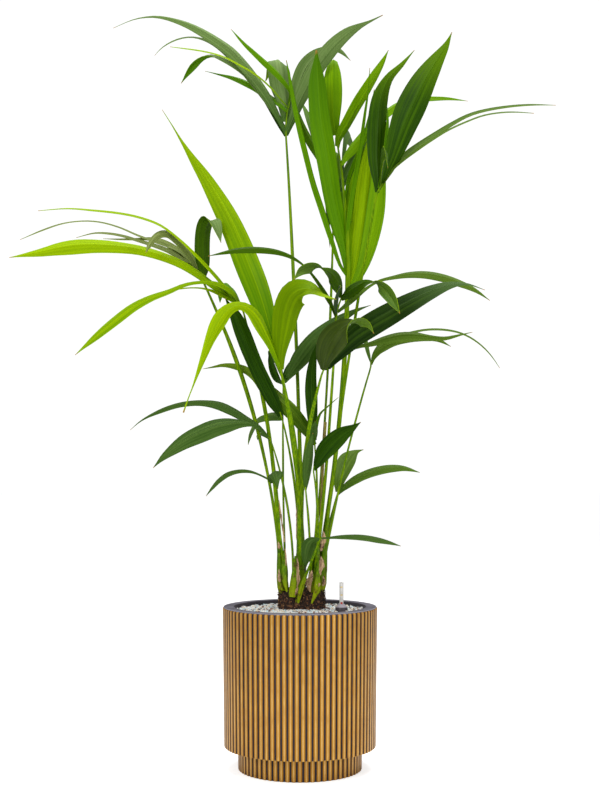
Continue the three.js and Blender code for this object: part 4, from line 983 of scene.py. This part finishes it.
             "seen": [4, 11, 21, 27, 28, 25, 20, 12, 1],
             "path": [[31, 456, -60], [22, 450, -52], [17, 439, -42], [14, 424, -32], [12, 411, -24],
                      [13, 402, -18]]},
        ],
    },
    "left_shoot": {
        "stem": "inner", "seat": [-3.3, -4.6], "via": [18, 476, -8], "top": [12, 548, -40],
        "rachis": [11, 562, -42], "radius": [2.6, 2.1],
        "leaflets": [
            {"at": 0.5, "turn": 20, "look": "blue", "seen": [4, 10, 15, 18, 19, 18, 14, 9, 1],
             "path": [[14, 582], [17, 610], [20, 636], [26, 670, -60]]},
        ],
    },
    "right_shoot": {
        "stem": "inner", "seat": [3.3, -4.6], "via": [36, 486, -18], "top": [28, 590, -60],
        "rachis": [29, 604, -62], "radius": [2.8, 2.1],
        "leaflets": [
            {"at": 0.4, "turn": 12, "look": "dark", "seen": [6, 20, 31, 36, 36, 32, 23, 11, 1],
             "path": [[36, 614], [47, 634], [64, 652], [84, 668], [104, 680], [122, 692, -100]]},
        ],
    },
    "short_dark": {
        "stem": "inner", "seat": [-5.4, 1.7], "via": [34, 536, 6], "top": [30, 638, -10], "rachis": [30, 656, -12],
        "radius": [2.6, 2.1],
        "leaflets": [
            {"at": 0.5, "turn": 5, "look": ("long", "dark"), "seen": [8, 24, 30, 30, 28, 18, 14, 7, 1],
             "path": [[16, 672], [3, 690], [-12, 708, -2], [-30, 726, 3], [-50, 743, 15], [-70, 761, 38],
                      [-90, 783, 52], [-110, 797], [-132, 804], [-154, 806], [-175, 802], [-195, 798, 80]]},
            {"at": 1, "turn": 20, "look": "dark", "seen": [8, 16, 21, 24, 25, 22, 18, 11, 1],
             "path": [[27, 690], [25, 735], [24, 780], [28, 820], [34, 850, 10]]},
            {"at": 0.7, "turn": 55, "look": "mid", "seen": [3, 5, 6, 6, 5, 4, 3, 2, 1],
             "path": [[40, 704], [56, 722], [77, 741, -40]]},
            {"at": 0.9, "turn": 20, "look": "blue", "seen": [5, 10, 14, 16, 16, 14, 11, 6, 1],
             "path": [[29, 676], [30, 694, -30]]},
        ],
    },
}

stalkShape = {
    "ribRadius": 1.2,
    "gap": 0.3,  # between a stalk's foot and its stem
    "green": [(124, 158, 0), (76, 118, 0)],
}
oldStub = {
    "stem": "right", "seat": [-3.3, -4.6], "via": [42, 516, 30], "top": [50, 692, 14], "radius": [2.9, 2.4, 2.0],
    "dry": [(150, 140, 50), (104, 84, 40)],
}
leafShape = {
    "across": 12, "along": 32, "thickness": 0.5,
    "fold": 0.2,  # how far the blade hangs down from its vein
    "pleats": 5, "pleat": 0.05, "pleatMost": 0.45,
    "ripple": 0.05,
    "seedStep": 0.618,  # from leaflet to leaflet, for folds and streaks that differ
    "rootWidth": 0.2,  # of the width, where a leaflet has only one
    "tipWidth": 0.35,
}

# a look's root colour is painted shade towards the rachis
leafColours = {
    "bright": {"light": (160, 193, 0), "deep": (124, 158, 0), "root": (104, 148, 0), "gloss": 0.5, "shine": 0.03},
    "sprout": {"light": (148, 182, 0), "deep": (112, 150, 0), "root": (64, 118, 0), "reach": 0.8, "gloss": 0.5,
        "shine": 0.03},
    "spring": {"light": (146, 180, 0), "deep": (108, 146, 0), "gloss": 0.5, "shine": 0.03},
    "fold": {"light": (118, 152, 0), "deep": (92, 126, 0), "far": (156, 188, 16), "gloss": 0.5, "shine": 0.03},
    "lime": {"light": (124, 168, 0), "deep": (90, 136, 0), "gloss": 0.45, "shine": 0.04},
    "fresh": {"light": (100, 150, 0), "deep": (70, 120, 0), "gloss": 0.45, "shine": 0.04},
    "summer": {"light": (98, 148, 0), "deep": (74, 124, 0), "far": (64, 110, 0), "gloss": 0.42, "shine": 0.05},
    "mid": {"light": (84, 122, 2), "deep": (54, 94, 0), "gloss": 0.45, "shine": 0.05},
    "plain": {"light": (70, 104, 0), "deep": (46, 80, 0), "gloss": 0.42, "shine": 0.05},
    "dark": {"light": (46, 82, 0), "deep": (18, 48, 0), "gloss": 0.4, "shine": 0.05},
    "glossFar": {"light": (62, 100, 0), "deep": (26, 60, 0), "far": (104, 146, 2), "gloss": 0.36, "shine": 0.06},
    # the broad look's grey-green far colour is a painted sheen
    "broad": {"light": (46, 74, 8), "deep": (12, 38, 0), "far": (96, 128, 70), "gloss": 0.36, "shine": 0.08},
    "leaf": {"light": (100, 130, 42), "deep": (70, 102, 14), "gloss": 0.5, "shine": 0.08},
    "long": {"light": (108, 136, 28), "deep": (76, 106, 8), "root": (40, 74, 0), "reach": 0.6, "gloss": 0.45,
        "shine": 0.06},
    "under": {"light": (92, 124, 36), "deep": (68, 102, 20), "gloss": 0.5, "shine": 0.08},
    "olive": {"light": (68, 86, 22), "deep": (42, 60, 8), "gloss": 0.45, "shine": 0.08},
    "moss": {"light": (136, 150, 82), "deep": (94, 110, 44), "gloss": 0.5, "shine": 0.08},
    "grey": {"light": (118, 144, 80), "deep": (86, 116, 50), "root": (62, 98, 32), "reach": 0.3, "gloss": 0.6,
        "shine": 0.1},
    "blue": {"light": (80, 110, 44), "deep": (48, 80, 20), "gloss": 0.5, "shine": 0.08},
}
dryTip = (168, 122, 62)  # of every leaflet


def leafStreaks(tree, given):
    # along a blade: which shade of its colour, its middle vein, painted shade towards its root, its far end, and
    # its dry tip
    across, along, _ = axesOf(tree, put(tree, "ShaderNodeUVMap", uv_map="blade").outputs[0])
    seed = put(tree, "ShaderNodeAttribute", attribute_name="leafSeed").outputs["Fac"]

    def streaks(count, wave):
        spot = {
            0: maths(tree, "MULTIPLY", across, count),
            1: maths(tree, "MULTIPLY", along, wave),
            2: maths(tree, "MULTIPLY", seed, 40),
        }
        return put(tree, "ShaderNodeCombineXYZ", spot).outputs[0]

    def offset(value, share):
        return maths(tree, "MULTIPLY", maths(tree, "SUBTRACT", value, 0.5), share)

    broad = speckle(tree, streaks(given["Count"], 0.8), 1, 1, 0.55)
    fine = speckle(tree, streaks(maths(tree, "MULTIPLY", given["Count"], 3), 1.2), 1, 1, 0.55)
    cloud = speckle(tree, streaks(2.0, 5.0), 1, 2, 0.55)
    shade = maths(tree, "ADD", maths(tree, "MULTIPLY", broad, 0.55), maths(tree, "MULTIPLY", fine, 0.25))
    shade = maths(tree, "ADD", shade, maths(tree, "MULTIPLY", cloud, 0.2))
    middle = maths(tree, "ABSOLUTE", maths(tree, "SUBTRACT", across, 0.5))
    return {
        "Shade": remap(tree, shade, 0.3, 0.7),
        "Vein": remap(tree, middle, 0.012, 0.03, 1, 0),
        "Root": remap(tree, maths(tree, "ADD", along, offset(broad, 0.5)), 0.0, given["Reach"], 1, 0),
        "Far": remap(tree, along, 0.5, 1.0),
        "Dry": remap(tree, maths(tree, "ADD", along, offset(cloud, 0.05)), 0.975, 0.995),
        "Height": fine,
    }


# how many streaks a blade has across, and how far along it the painted shade at the root goes
streakShape = {"Count": 9, "Reach": 0.34}
leafGroup = makeGroup("leafStreaks", streakShape, leafStreaks)


def leafPaint(colours):
    def build(tree):
        sockets = {**streakShape, "Reach": colours.get("reach", streakShape["Reach"])}
        streak = put(tree, "ShaderNodeGroup", sockets, node_tree=leafGroup).outputs
        # painted shade darkens the blade towards its root
        shade = maths(tree, "MULTIPLY", streak["Shade"], maths(tree, "MULTIPLY_ADD", streak["Root"], -0.5, 1))
        colour = blend(tree, shade, paint(*colours["deep"]), paint(*colours["light"]))
        # the root colour is painted shade, and the broad look's far colour is a painted sheen
        for end, socket in (("root", "Root"), ("far", "Far")):
            if end in colours:
                colour = blend(tree, maths(tree, "MULTIPLY", streak[socket], 0.8), colour, paint(*colours[end]))
        colour = blend(tree, maths(tree, "MULTIPLY", streak["Vein"], 0.5), colour, paint(*colours["light"]))
        colour = blend(tree, maths(tree, "MULTIPLY", streak["Dry"], 0.85), colour, paint(*dryTip))
        gloss = colours["gloss"]
        return {
            "Base Color": colour,
            "Roughness": remap(tree, streak["Shade"], 0, 1, gloss, gloss + 0.1),
            "Normal": bump(tree, streak["Height"], 0.2, 0.0004),
        }

    return build


def rowValue(row, share):
    # a value from an evenly spaced row, eased through its neighbours
    spot = share * (len(row) - 1)
    i = min(int(spot), len(row) - 2)
    t = spot - i
    before, start, end, after = row[max(i - 1, 0)], row[i], row[i + 1], row[min(i + 2, len(row) - 1)]
    slope, swing = 2 * before - 5 * start + 4 * end - after, 3 * (start - end) + after - before
    return start + 0.5 * t * (end - before + t * (slope + t * swing))


def halfWidth(share, leaf):
    if "seen" in leaf:
        turn = leaf["turn"]
        tilt = rowValue(turn, share) if isinstance(turn, list) else turn
        half = rowValue(leaf["seen"], share) / 2 / math.cos(math.radians(tilt))
    elif "widths" in leaf:
        half = rowValue(leaf["widths"], share) / 2
    else:
        blade = max(math.sin(math.pi * share**0.92), 0) ** 0.85
        half = (leafShape["rootWidth"] * (1 - share) + 0.9 * blade) * leaf["width"] / 2
    return max(half, leafShape["tipWidth"])


def bladeCourse(root, leaf):
    # places, directions and side vectors along a leaflet's middle vein
    if "path" in leaf:
        path = leaf["path"]
        sink = path[-1][2] - root.y
        depths = [root.y + sink * (i + 1) / len(path) for i in range(len(path))]
        knots = [place((*knot[:2], knot[2] if len(knot) > 2 else depth)) for knot, depth in zip(path, depths)]
        points = smoothPath([root, *knots])
    else:
        end = place(leaf["tip"])
        crest = place((*leaf["crest"], (root.y + end.y) / 2))
        points = bend(root, arcPull(root, crest, end), end)
    steps = leafShape["along"]
    stops = evenStops(points, steps)
    middleWay = stops[steps // 2][1]
    flat = middleWay.cross(frontAxis).normalized()
    sense = 1 if flat.x + flat.z > 0 else -1
    turn = leaf.get("turn", 0)
    if not isinstance(turn, list):
        return stops, carriedSides(stops, Matrix.Rotation(math.radians(sense * turn), 3, middleWay) @ flat)
    sides = []
    for i, (_, way) in enumerate(stops):
        angle = math.radians(sense * rowValue(turn, i / steps))
        sides.append(Matrix.Rotation(angle, 3, way) @ way.cross(frontAxis).normalized())
    return stops, sides


def growLeaflet(bm, root, leaf, seed):
    # a folded, pleated blade, grown from a flat grid along its vein and then given its thickness
    shape = leafShape
    steps = shape["along"]
    stops, sides = bladeCourse(root, leaf)
    crumple, fold = leaf.get("crumple", 0), leaf.get("fold", shape["fold"])
    made = bmesh.ops.create_grid(bm, x_segments=shape["across"], y_segments=steps, size=0.5, calc_uvs=True)["verts"]
    seeds = bm.verts.layers.float["leafSeed"]
    for vert in made:
        aside, share = vert.co.x * 2, vert.co.y + 0.5
        (spot, way), side = stops[round(share * steps)], sides[round(share * steps)]
        half = halfWidth(share, leaf)
        toSide = aside * half * (1 + crumple * noise.noise(Vector((seed * 20, share * 11, 3 if aside > 0 else 8))))
        toFace = min(half * shape["pleat"], shape["pleatMost"]) * math.cos(abs(aside) * math.pi * shape["pleats"])
        ripple = half * shape["ripple"] * abs(aside) ** 2 * noise.noise(Vector((aside * 2, share * 7, seed * 9)))
        ripple += crumple * half * 0.8 * noise.noise(Vector((aside * 1.2, share * 4, seed * 30)))
        toFace += ripple - abs(toSide) * 2 * fold
        vert.co = spot + side * toSide + side.cross(way) * toFace
        vert[seeds] = seed
    faces = list({face for vert in made for face in vert.link_faces})
    bm.normal_update()
    shell = bmesh.ops.solidify(bm, geom=faces, thickness=shape["thickness"])["geom"]
    if "look" in leaf:
        # the blade's face a quarter of the way up tells which side shows
        near = steps // 4
        facing = sides[near].cross(stops[near][1]).dot(frontAxis) > 0
        looks = leaf["look"] if isinstance(leaf["look"], tuple) else (leaf["look"], leaf["look"])
        order = list(leafColours)
        top, under = [order.index(look) for look in (looks if facing else looks[::-1])]
        for face in shell:
            if isinstance(face, bmesh.types.BMFace):
                face.material_index = under
        for face in faces:
            face.material_index = top


def newBlades():
    # an empty mesh with what the leaf finishes read
    bm = bmesh.new()
    bm.loops.layers.uv.new("blade")
    bm.verts.layers.float.new("leafSeed")
    return bm


def stalkPoints(spec):
    # the foot of a stalk on its stem, the pull of its arc, and its top
    stem = stems[spec["stem"]]
    (x, y), seat = stem["centre"], spec["seat"]
    foot = Vector((x + seat[0], y + seat[1], stem["top"] + stalkShape["gap"]))
    top = place(spec["top"])
    return foot, arcPull(foot, place(spec["via"]), top), top


def stalkPaint(light, deep):
    def build(tree):
        spot = objectPlace(tree)
        grain = speckle(tree, stretch(tree, spot, (420, 420, 3)), 1, 3, 0.6)
        cloud = speckle(tree, spot, 22, 3)
        shade = maths(tree, "ADD", maths(tree, "MULTIPLY", grain, 0.8), maths(tree, "MULTIPLY", cloud, 0.2))
        return {
            "Base Color": blend(tree, remap(tree, shade, 0.4, 0.6), paint(*deep), paint(*light)),
            "Roughness": remap(tree, grain, 0.3, 0.7, 0.36, 0.5),
            "Normal": bump(tree, grain, 0.3, 0.0004),
        }

    return build


def makeFronds():
    stalkFinish = makeMaterial("stalkGreen", stalkPaint(*stalkShape["green"]), **{"Specular IOR Level": 0.06})
    leafFinishes = [
        makeMaterial(f"{name}Leaf", leafPaint(colours), **{"Specular IOR Level": colours["shine"]})
        for name, colours in leafColours.items()
    ]
    ribRadius, ribSteps = stalkShape["ribRadius"], 100
    for number, (name, spec) in enumerate(fronds.items()):
        print("frond", name)
        foot, pull, top = stalkPoints(spec)
        tip = place(spec["rachis"])
        rachis = bend(top, top + (top - pull).normalized() * (tip - top).length / 2, tip)
        bm = bmesh.new()
        wide, slim = spec["radius"]
        radii = [wide, wide, (wide + slim) / 2, slim, slim, (slim + ribRadius) / 2, ribRadius]
        growLimb(bm, bend(foot, pull, top) + rachis[1:], radii, steps=40, relief=0.08, seed=number)
        finishPiece(f"{name}_stalk", bm, [stalkFinish], [f"stalk_{name}"])
        bm = newBlades()
        stops = evenStops(rachis, ribSteps)
        for i, leaf in enumerate(spec["leaflets"]):
            growLeaflet(bm, stops[round(leaf["at"] * ribSteps)][0], leaf, i * leafShape["seedStep"] % 1)
        finishPiece(f"{name}_leaflets", bm, leafFinishes, [f"frond_{name}"])
    bm = bmesh.new()
    growLimb(bm, bend(*stalkPoints(oldStub)), oldStub["radius"], steps=24, relief=0.1)
    oldFinish = makeMaterial("oldStalk", stalkPaint(*oldStub["dry"]))
    finishPiece("old_stalk", bm, [oldFinish], ["stalk_old_stub"])


# Each stem is a bundle of stalk feet round a core, wrapped in the dry sheaths of older leaves.
footShape = {
    "from": 10,  # of the 64 steps of a stalk's arc
    "radii": [0.7, 1, 1.3, 1.65, 1.8, 1.5, 0.5],  # times the stalk's own
    "depths": [(-14, 0.9), (2, 0.8), (16, 0.5)],  # below the ground, and the share of the seat's place there
}
stemCore = {"sink": 16, "rise": 19, "radii": [1, 1.08, 1, 0.75, 0.4, 0.15]}
stemColours = {
    "green": [(60, 100, 0), (112, 150, 0)],
    "foot": (150, 168, 12),
    "footEdge": (345, 400),
    "fibre": (96, 66, 34),
}
sheathShape = {"fold": 0.25, "crumple": 0.5, "seedStep": 0.37}
sheathColours = {"dry": [(124, 84, 52), (226, 192, 148)], "blotch": (84, 52, 30)}
frontFeet = [
    {"stem": "front", "radii": [2, 3, 4.6, 3.6],
     "path": [[-9, 424, 6], [-11, 400, 2], [-13, 374, -4], [-16, 342, -6]]},
    {"stem": "front", "radii": [2.2, 3.4, 4, 1],
     "path": [[16, 396, -24], [7, 372, -18], [0, 350, -12], [-4, 330, -6]]},
    {"stem": "inner", "radii": [3, 4.2, 5, 1], "path": [[36, 420, 6], [34, 384, 0], [32, 356, -4], [23, 329, -5]]},
    {"stem": "left", "radii": [3, 5, 5.4, 1],
     "path": [[-32, 430, 14], [-32, 396, 8], [-30, 372, 2], [-26, 352, 0]]},
    {"stem": "left", "radii": [3, 4, 4, 2],
     "path": [[-41, 430, 18], [-41, 396, 16], [-39, 374, 12], [-36, 356, 10]]},
    {"stem": "right", "radii": [3, 4, 4.4, 3],
     "path": [[44, 420, 30], [43, 396, 30], [41, 372, 30], [38, 352, 32]]},
]
drySheaths = [
    {"stem": "left", "widths": [3, 6, 7, 6, 5, 4, 3, 2, 1], "path": [[-41, 372, 0], [-42, 384, 0], [-42, 398, 2]]},
    {"stem": "left", "widths": [2, 5, 7, 6, 5, 4, 3, 2, 1], "path": [[-42, 438, 6], [-42, 444, 6], [-44, 453, 8]]},
    {"stem": "left", "widths": [3, 2.5, 3.5, 3, 2.5, 4, 3, 2.5, 1],
     "path": [[-31, 452, 4], [-34, 476, 6], [-38, 502, 10], [-42, 536, 16]]},
    {"stem": "left", "widths": [1, 2, 3, 2.5, 3, 3, 2.5, 2, 1],
     "path": [[-28, 404, 2], [-28, 420, 2], [-30, 440, 3]]},
    {"stem": "middle", "widths": [4, 8, 10, 10, 8, 7, 6, 4, 1],
     "path": [[-7, 362, -6], [-5, 380, -3], [-5, 400, 2], [-6, 420, 6]]},
    {"stem": "middle", "widths": [2, 5, 8, 8, 7, 6, 5, 3, 1],
     "path": [[-12, 345, -8], [-8, 352, -9], [-4, 362, -7]]},
    {"stem": "middle", "widths": [1, 3, 4, 4, 3.5, 3, 4, 3, 1],
     "path": [[-6, 450, 14], [-6, 480, 16], [-6, 526, 18]]},
    {"stem": "inner", "widths": [3, 6, 9, 12, 12, 10, 8, 5, 1],
     "path": [[20, 352, -3], [17, 368, -4], [21, 380, -6], [24, 396, -5]]},
    {"stem": "inner", "widths": [2, 5, 7, 8, 8, 7, 6, 4, 1], "path": [[31, 365, -6], [36, 366, -7], [41, 369, -6]]},
    {"stem": "right", "widths": [3, 6, 9, 11, 12, 11, 9, 6, 1],
     "path": [[37, 380, 0], [40, 396, -1], [43, 410, 0], [42, 424, 2]]},
    {"stem": "right", "widths": [4, 7, 9, 9, 10, 9, 7, 4, 1],
     "path": [[42, 434, 4], [45, 448, 4], [48, 460, 6], [47, 474, 8]]},
    {"stem": "right", "widths": [3, 6, 8, 8, 7, 6, 4, 3, 1], "path": [[45, 364, 20], [48, 372, 20], [46, 384, 22]]},
]


def stemPaint(tree):
    # green, yellower towards the foot, with dry fibres between
    spot = objectPlace(tree)
    grain = speckle(tree, stretch(tree, spot, (620, 620, 26)), 1, 3, 0.6)
    blotch = speckle(tree, spot, 70, 4, 0.7)
    green = blend(tree, remap(tree, grain, 0.36, 0.64), *[paint(*green) for green in stemColours["green"]])
    ragged = maths(tree, "MULTIPLY", maths(tree, "SUBTRACT", blotch, 0.5), 0.03)
    foot = maths(tree, "ADD", axesOf(tree, spot)[2], ragged)
    yellow = edgeMask(tree, foot, stemColours["footEdge"], falling=True)
    green = blend(tree, yellow, green, paint(*stemColours["foot"]))
    brown = maths(tree, "MULTIPLY", remap(tree, blotch, 0.54, 0.66), remap(tree, grain, 0.4, 0.55))
    return {
        "Base Color": blend(tree, brown, green, paint(*stemColours["fibre"])),
        "Roughness": remap(tree, grain, 0.3, 0.7, 0.4, 0.6),
        "Normal": bump(tree, grain, 0.5, 0.0006),
    }


def sheathPaint(tree):
    # paper-thin, dry and split along its fibres
    across, along, _ = axesOf(tree, put(tree, "ShaderNodeUVMap", uv_map="blade").outputs[0])
    fibres = {0: maths(tree, "MULTIPLY", across, 14), 1: maths(tree, "MULTIPLY", along, 2)}
    grain = speckle(tree, put(tree, "ShaderNodeCombineXYZ", fibres).outputs[0], 1, 3, 0.65)
    blotch = speckle(tree, objectPlace(tree), 90, 4, 0.7)
    colour = blend(tree, remap(tree, grain, 0.35, 0.65), *[paint(*dry) for dry in sheathColours["dry"]])
    colour = blend(tree, remap(tree, blotch, 0.5, 0.68), colour, paint(*sheathColours["blotch"]))
    return {"Base Color": colour, "Roughness": 0.75, "Normal": bump(tree, grain, 0.6, 0.0006)}


def makeStems():
    print("stems")
    green = makeMaterial("stemGreen", stemPaint, **{"Specular IOR Level": 0.1})
    for number, (name, stem) in enumerate(stems.items()):
        bm = bmesh.new()
        (x, y), ground = stem["centre"], stem["ground"]
        core = [Vector((x, y, ground - stemCore["sink"])), Vector((x, y, ground + stemCore["rise"]))]
        radii = [stem["core"] * share for share in stemCore["radii"]]
        growLimb(bm, core, radii, steps=12, relief=0.25, sides=16, seed=number * 3.1)
        for turn, spec in enumerate([*fronds.values(), oldStub]):
            if spec["stem"] == name:
                upper = bend(*stalkPoints(spec))[footShape["from"]::-2]
                seat = Vector((*spec["seat"], 0))
                lower = [Vector((x, y, ground - depth)) + seat * share for depth, share in footShape["depths"]]
                radii = [spec["radius"][0] * share for share in footShape["radii"]]
                growLimb(bm, upper + lower, radii, steps=24, relief=0.12, sides=12, seed=turn)
        for foot in frontFeet:
            if foot["stem"] == name:
                knots = [place(knot) for knot in foot["path"]]
                growLimb(bm, smoothPath(knots), foot["radii"], steps=20, relief=0.15, sides=12, seed=number)
        finishPiece(f"{name}_stem", bm, [green], [f"stem_{name}"])
    bm = newBlades()
    for number, sheath in enumerate(drySheaths):
        leaf = {**sheathShape, **sheath, "path": sheath["path"][1:]}
        growLeaflet(bm, place(sheath["path"][0]), leaf, number * sheathShape["seedStep"] % 1)
    finishPiece("dry_sheaths", bm, [makeMaterial("drySheath", sheathPaint)])


studio = {
    "floor": 40,
    "floorGrey": (244, 244, 244),
    "floorGlow": 0.6,
    "backdrop": (0.45, 1.05),  # how bright it lights, and how bright it shows
    "aim": (0, 0, 0.7),
    "lamps": {
        "overhead": {"place": (0.2, 0.3, 3.8), "size": 2.6, "power": 90},
        "key": {"place": (-1.5, -3.0, 2.2), "size": 1.6, "power": 46},
        "fill": {"place": (2.2, -2.6, 1.4), "size": 1.6, "power": 26},
    },
}
white = (1, 1, 1, 1)


def cameraRay(tree):
    return put(tree, "ShaderNodeLightPath").outputs["Is Camera Ray"]


def floorPaint(tree):
    # the floor is as white as the studio behind it, and lights the plant only by what it gets
    glow = maths(tree, "MULTIPLY", cameraRay(tree), studio["floorGlow"])
    grey = paint(*studio["floorGrey"])
    return {"Base Color": grey, "Roughness": 0.9, "Emission Color": white, "Emission Strength": glow}


def makeStudio():
    bm = bmesh.new()
    bmesh.ops.create_circle(bm, cap_ends=True, radius=studio["floor"], segments=64)
    mesh = bpy.data.meshes.new("floor")
    bm.to_mesh(mesh)
    bm.free()
    mesh.materials.append(makeMaterial("floorPaint", floorPaint))
    addObject("floor", mesh)
    for name, lamp in studio["lamps"].items():
        data = bpy.data.lights.new(name, "AREA")
        data.shape = "DISK"
        data.size = lamp["size"]
        data.energy = lamp["power"]
        light = addObject(name, data)
        light.location = lamp["place"]
        light.rotation_euler = (Vector(studio["aim"]) - light.location).to_track_quat("-Z", "Y").to_euler()
    world = bpy.data.worlds.new("studio")
    world.use_nodes = True
    tree = world.node_tree
    backdrop = tree.nodes["Background"]
    feed(tree, backdrop.inputs["Color"], white)
    feed(tree, backdrop.inputs["Strength"], remap(tree, cameraRay(tree), 0, 1, *studio["backdrop"]))
    bpy.context.scene.world = world
    bpy.context.scene.view_settings.view_transform = "Standard"


makeCamera()
makePlanter()
makeGravel()
makeRootBall()
makeGauge()
makeStems()
makeFronds()
makeStudio()
print("size")
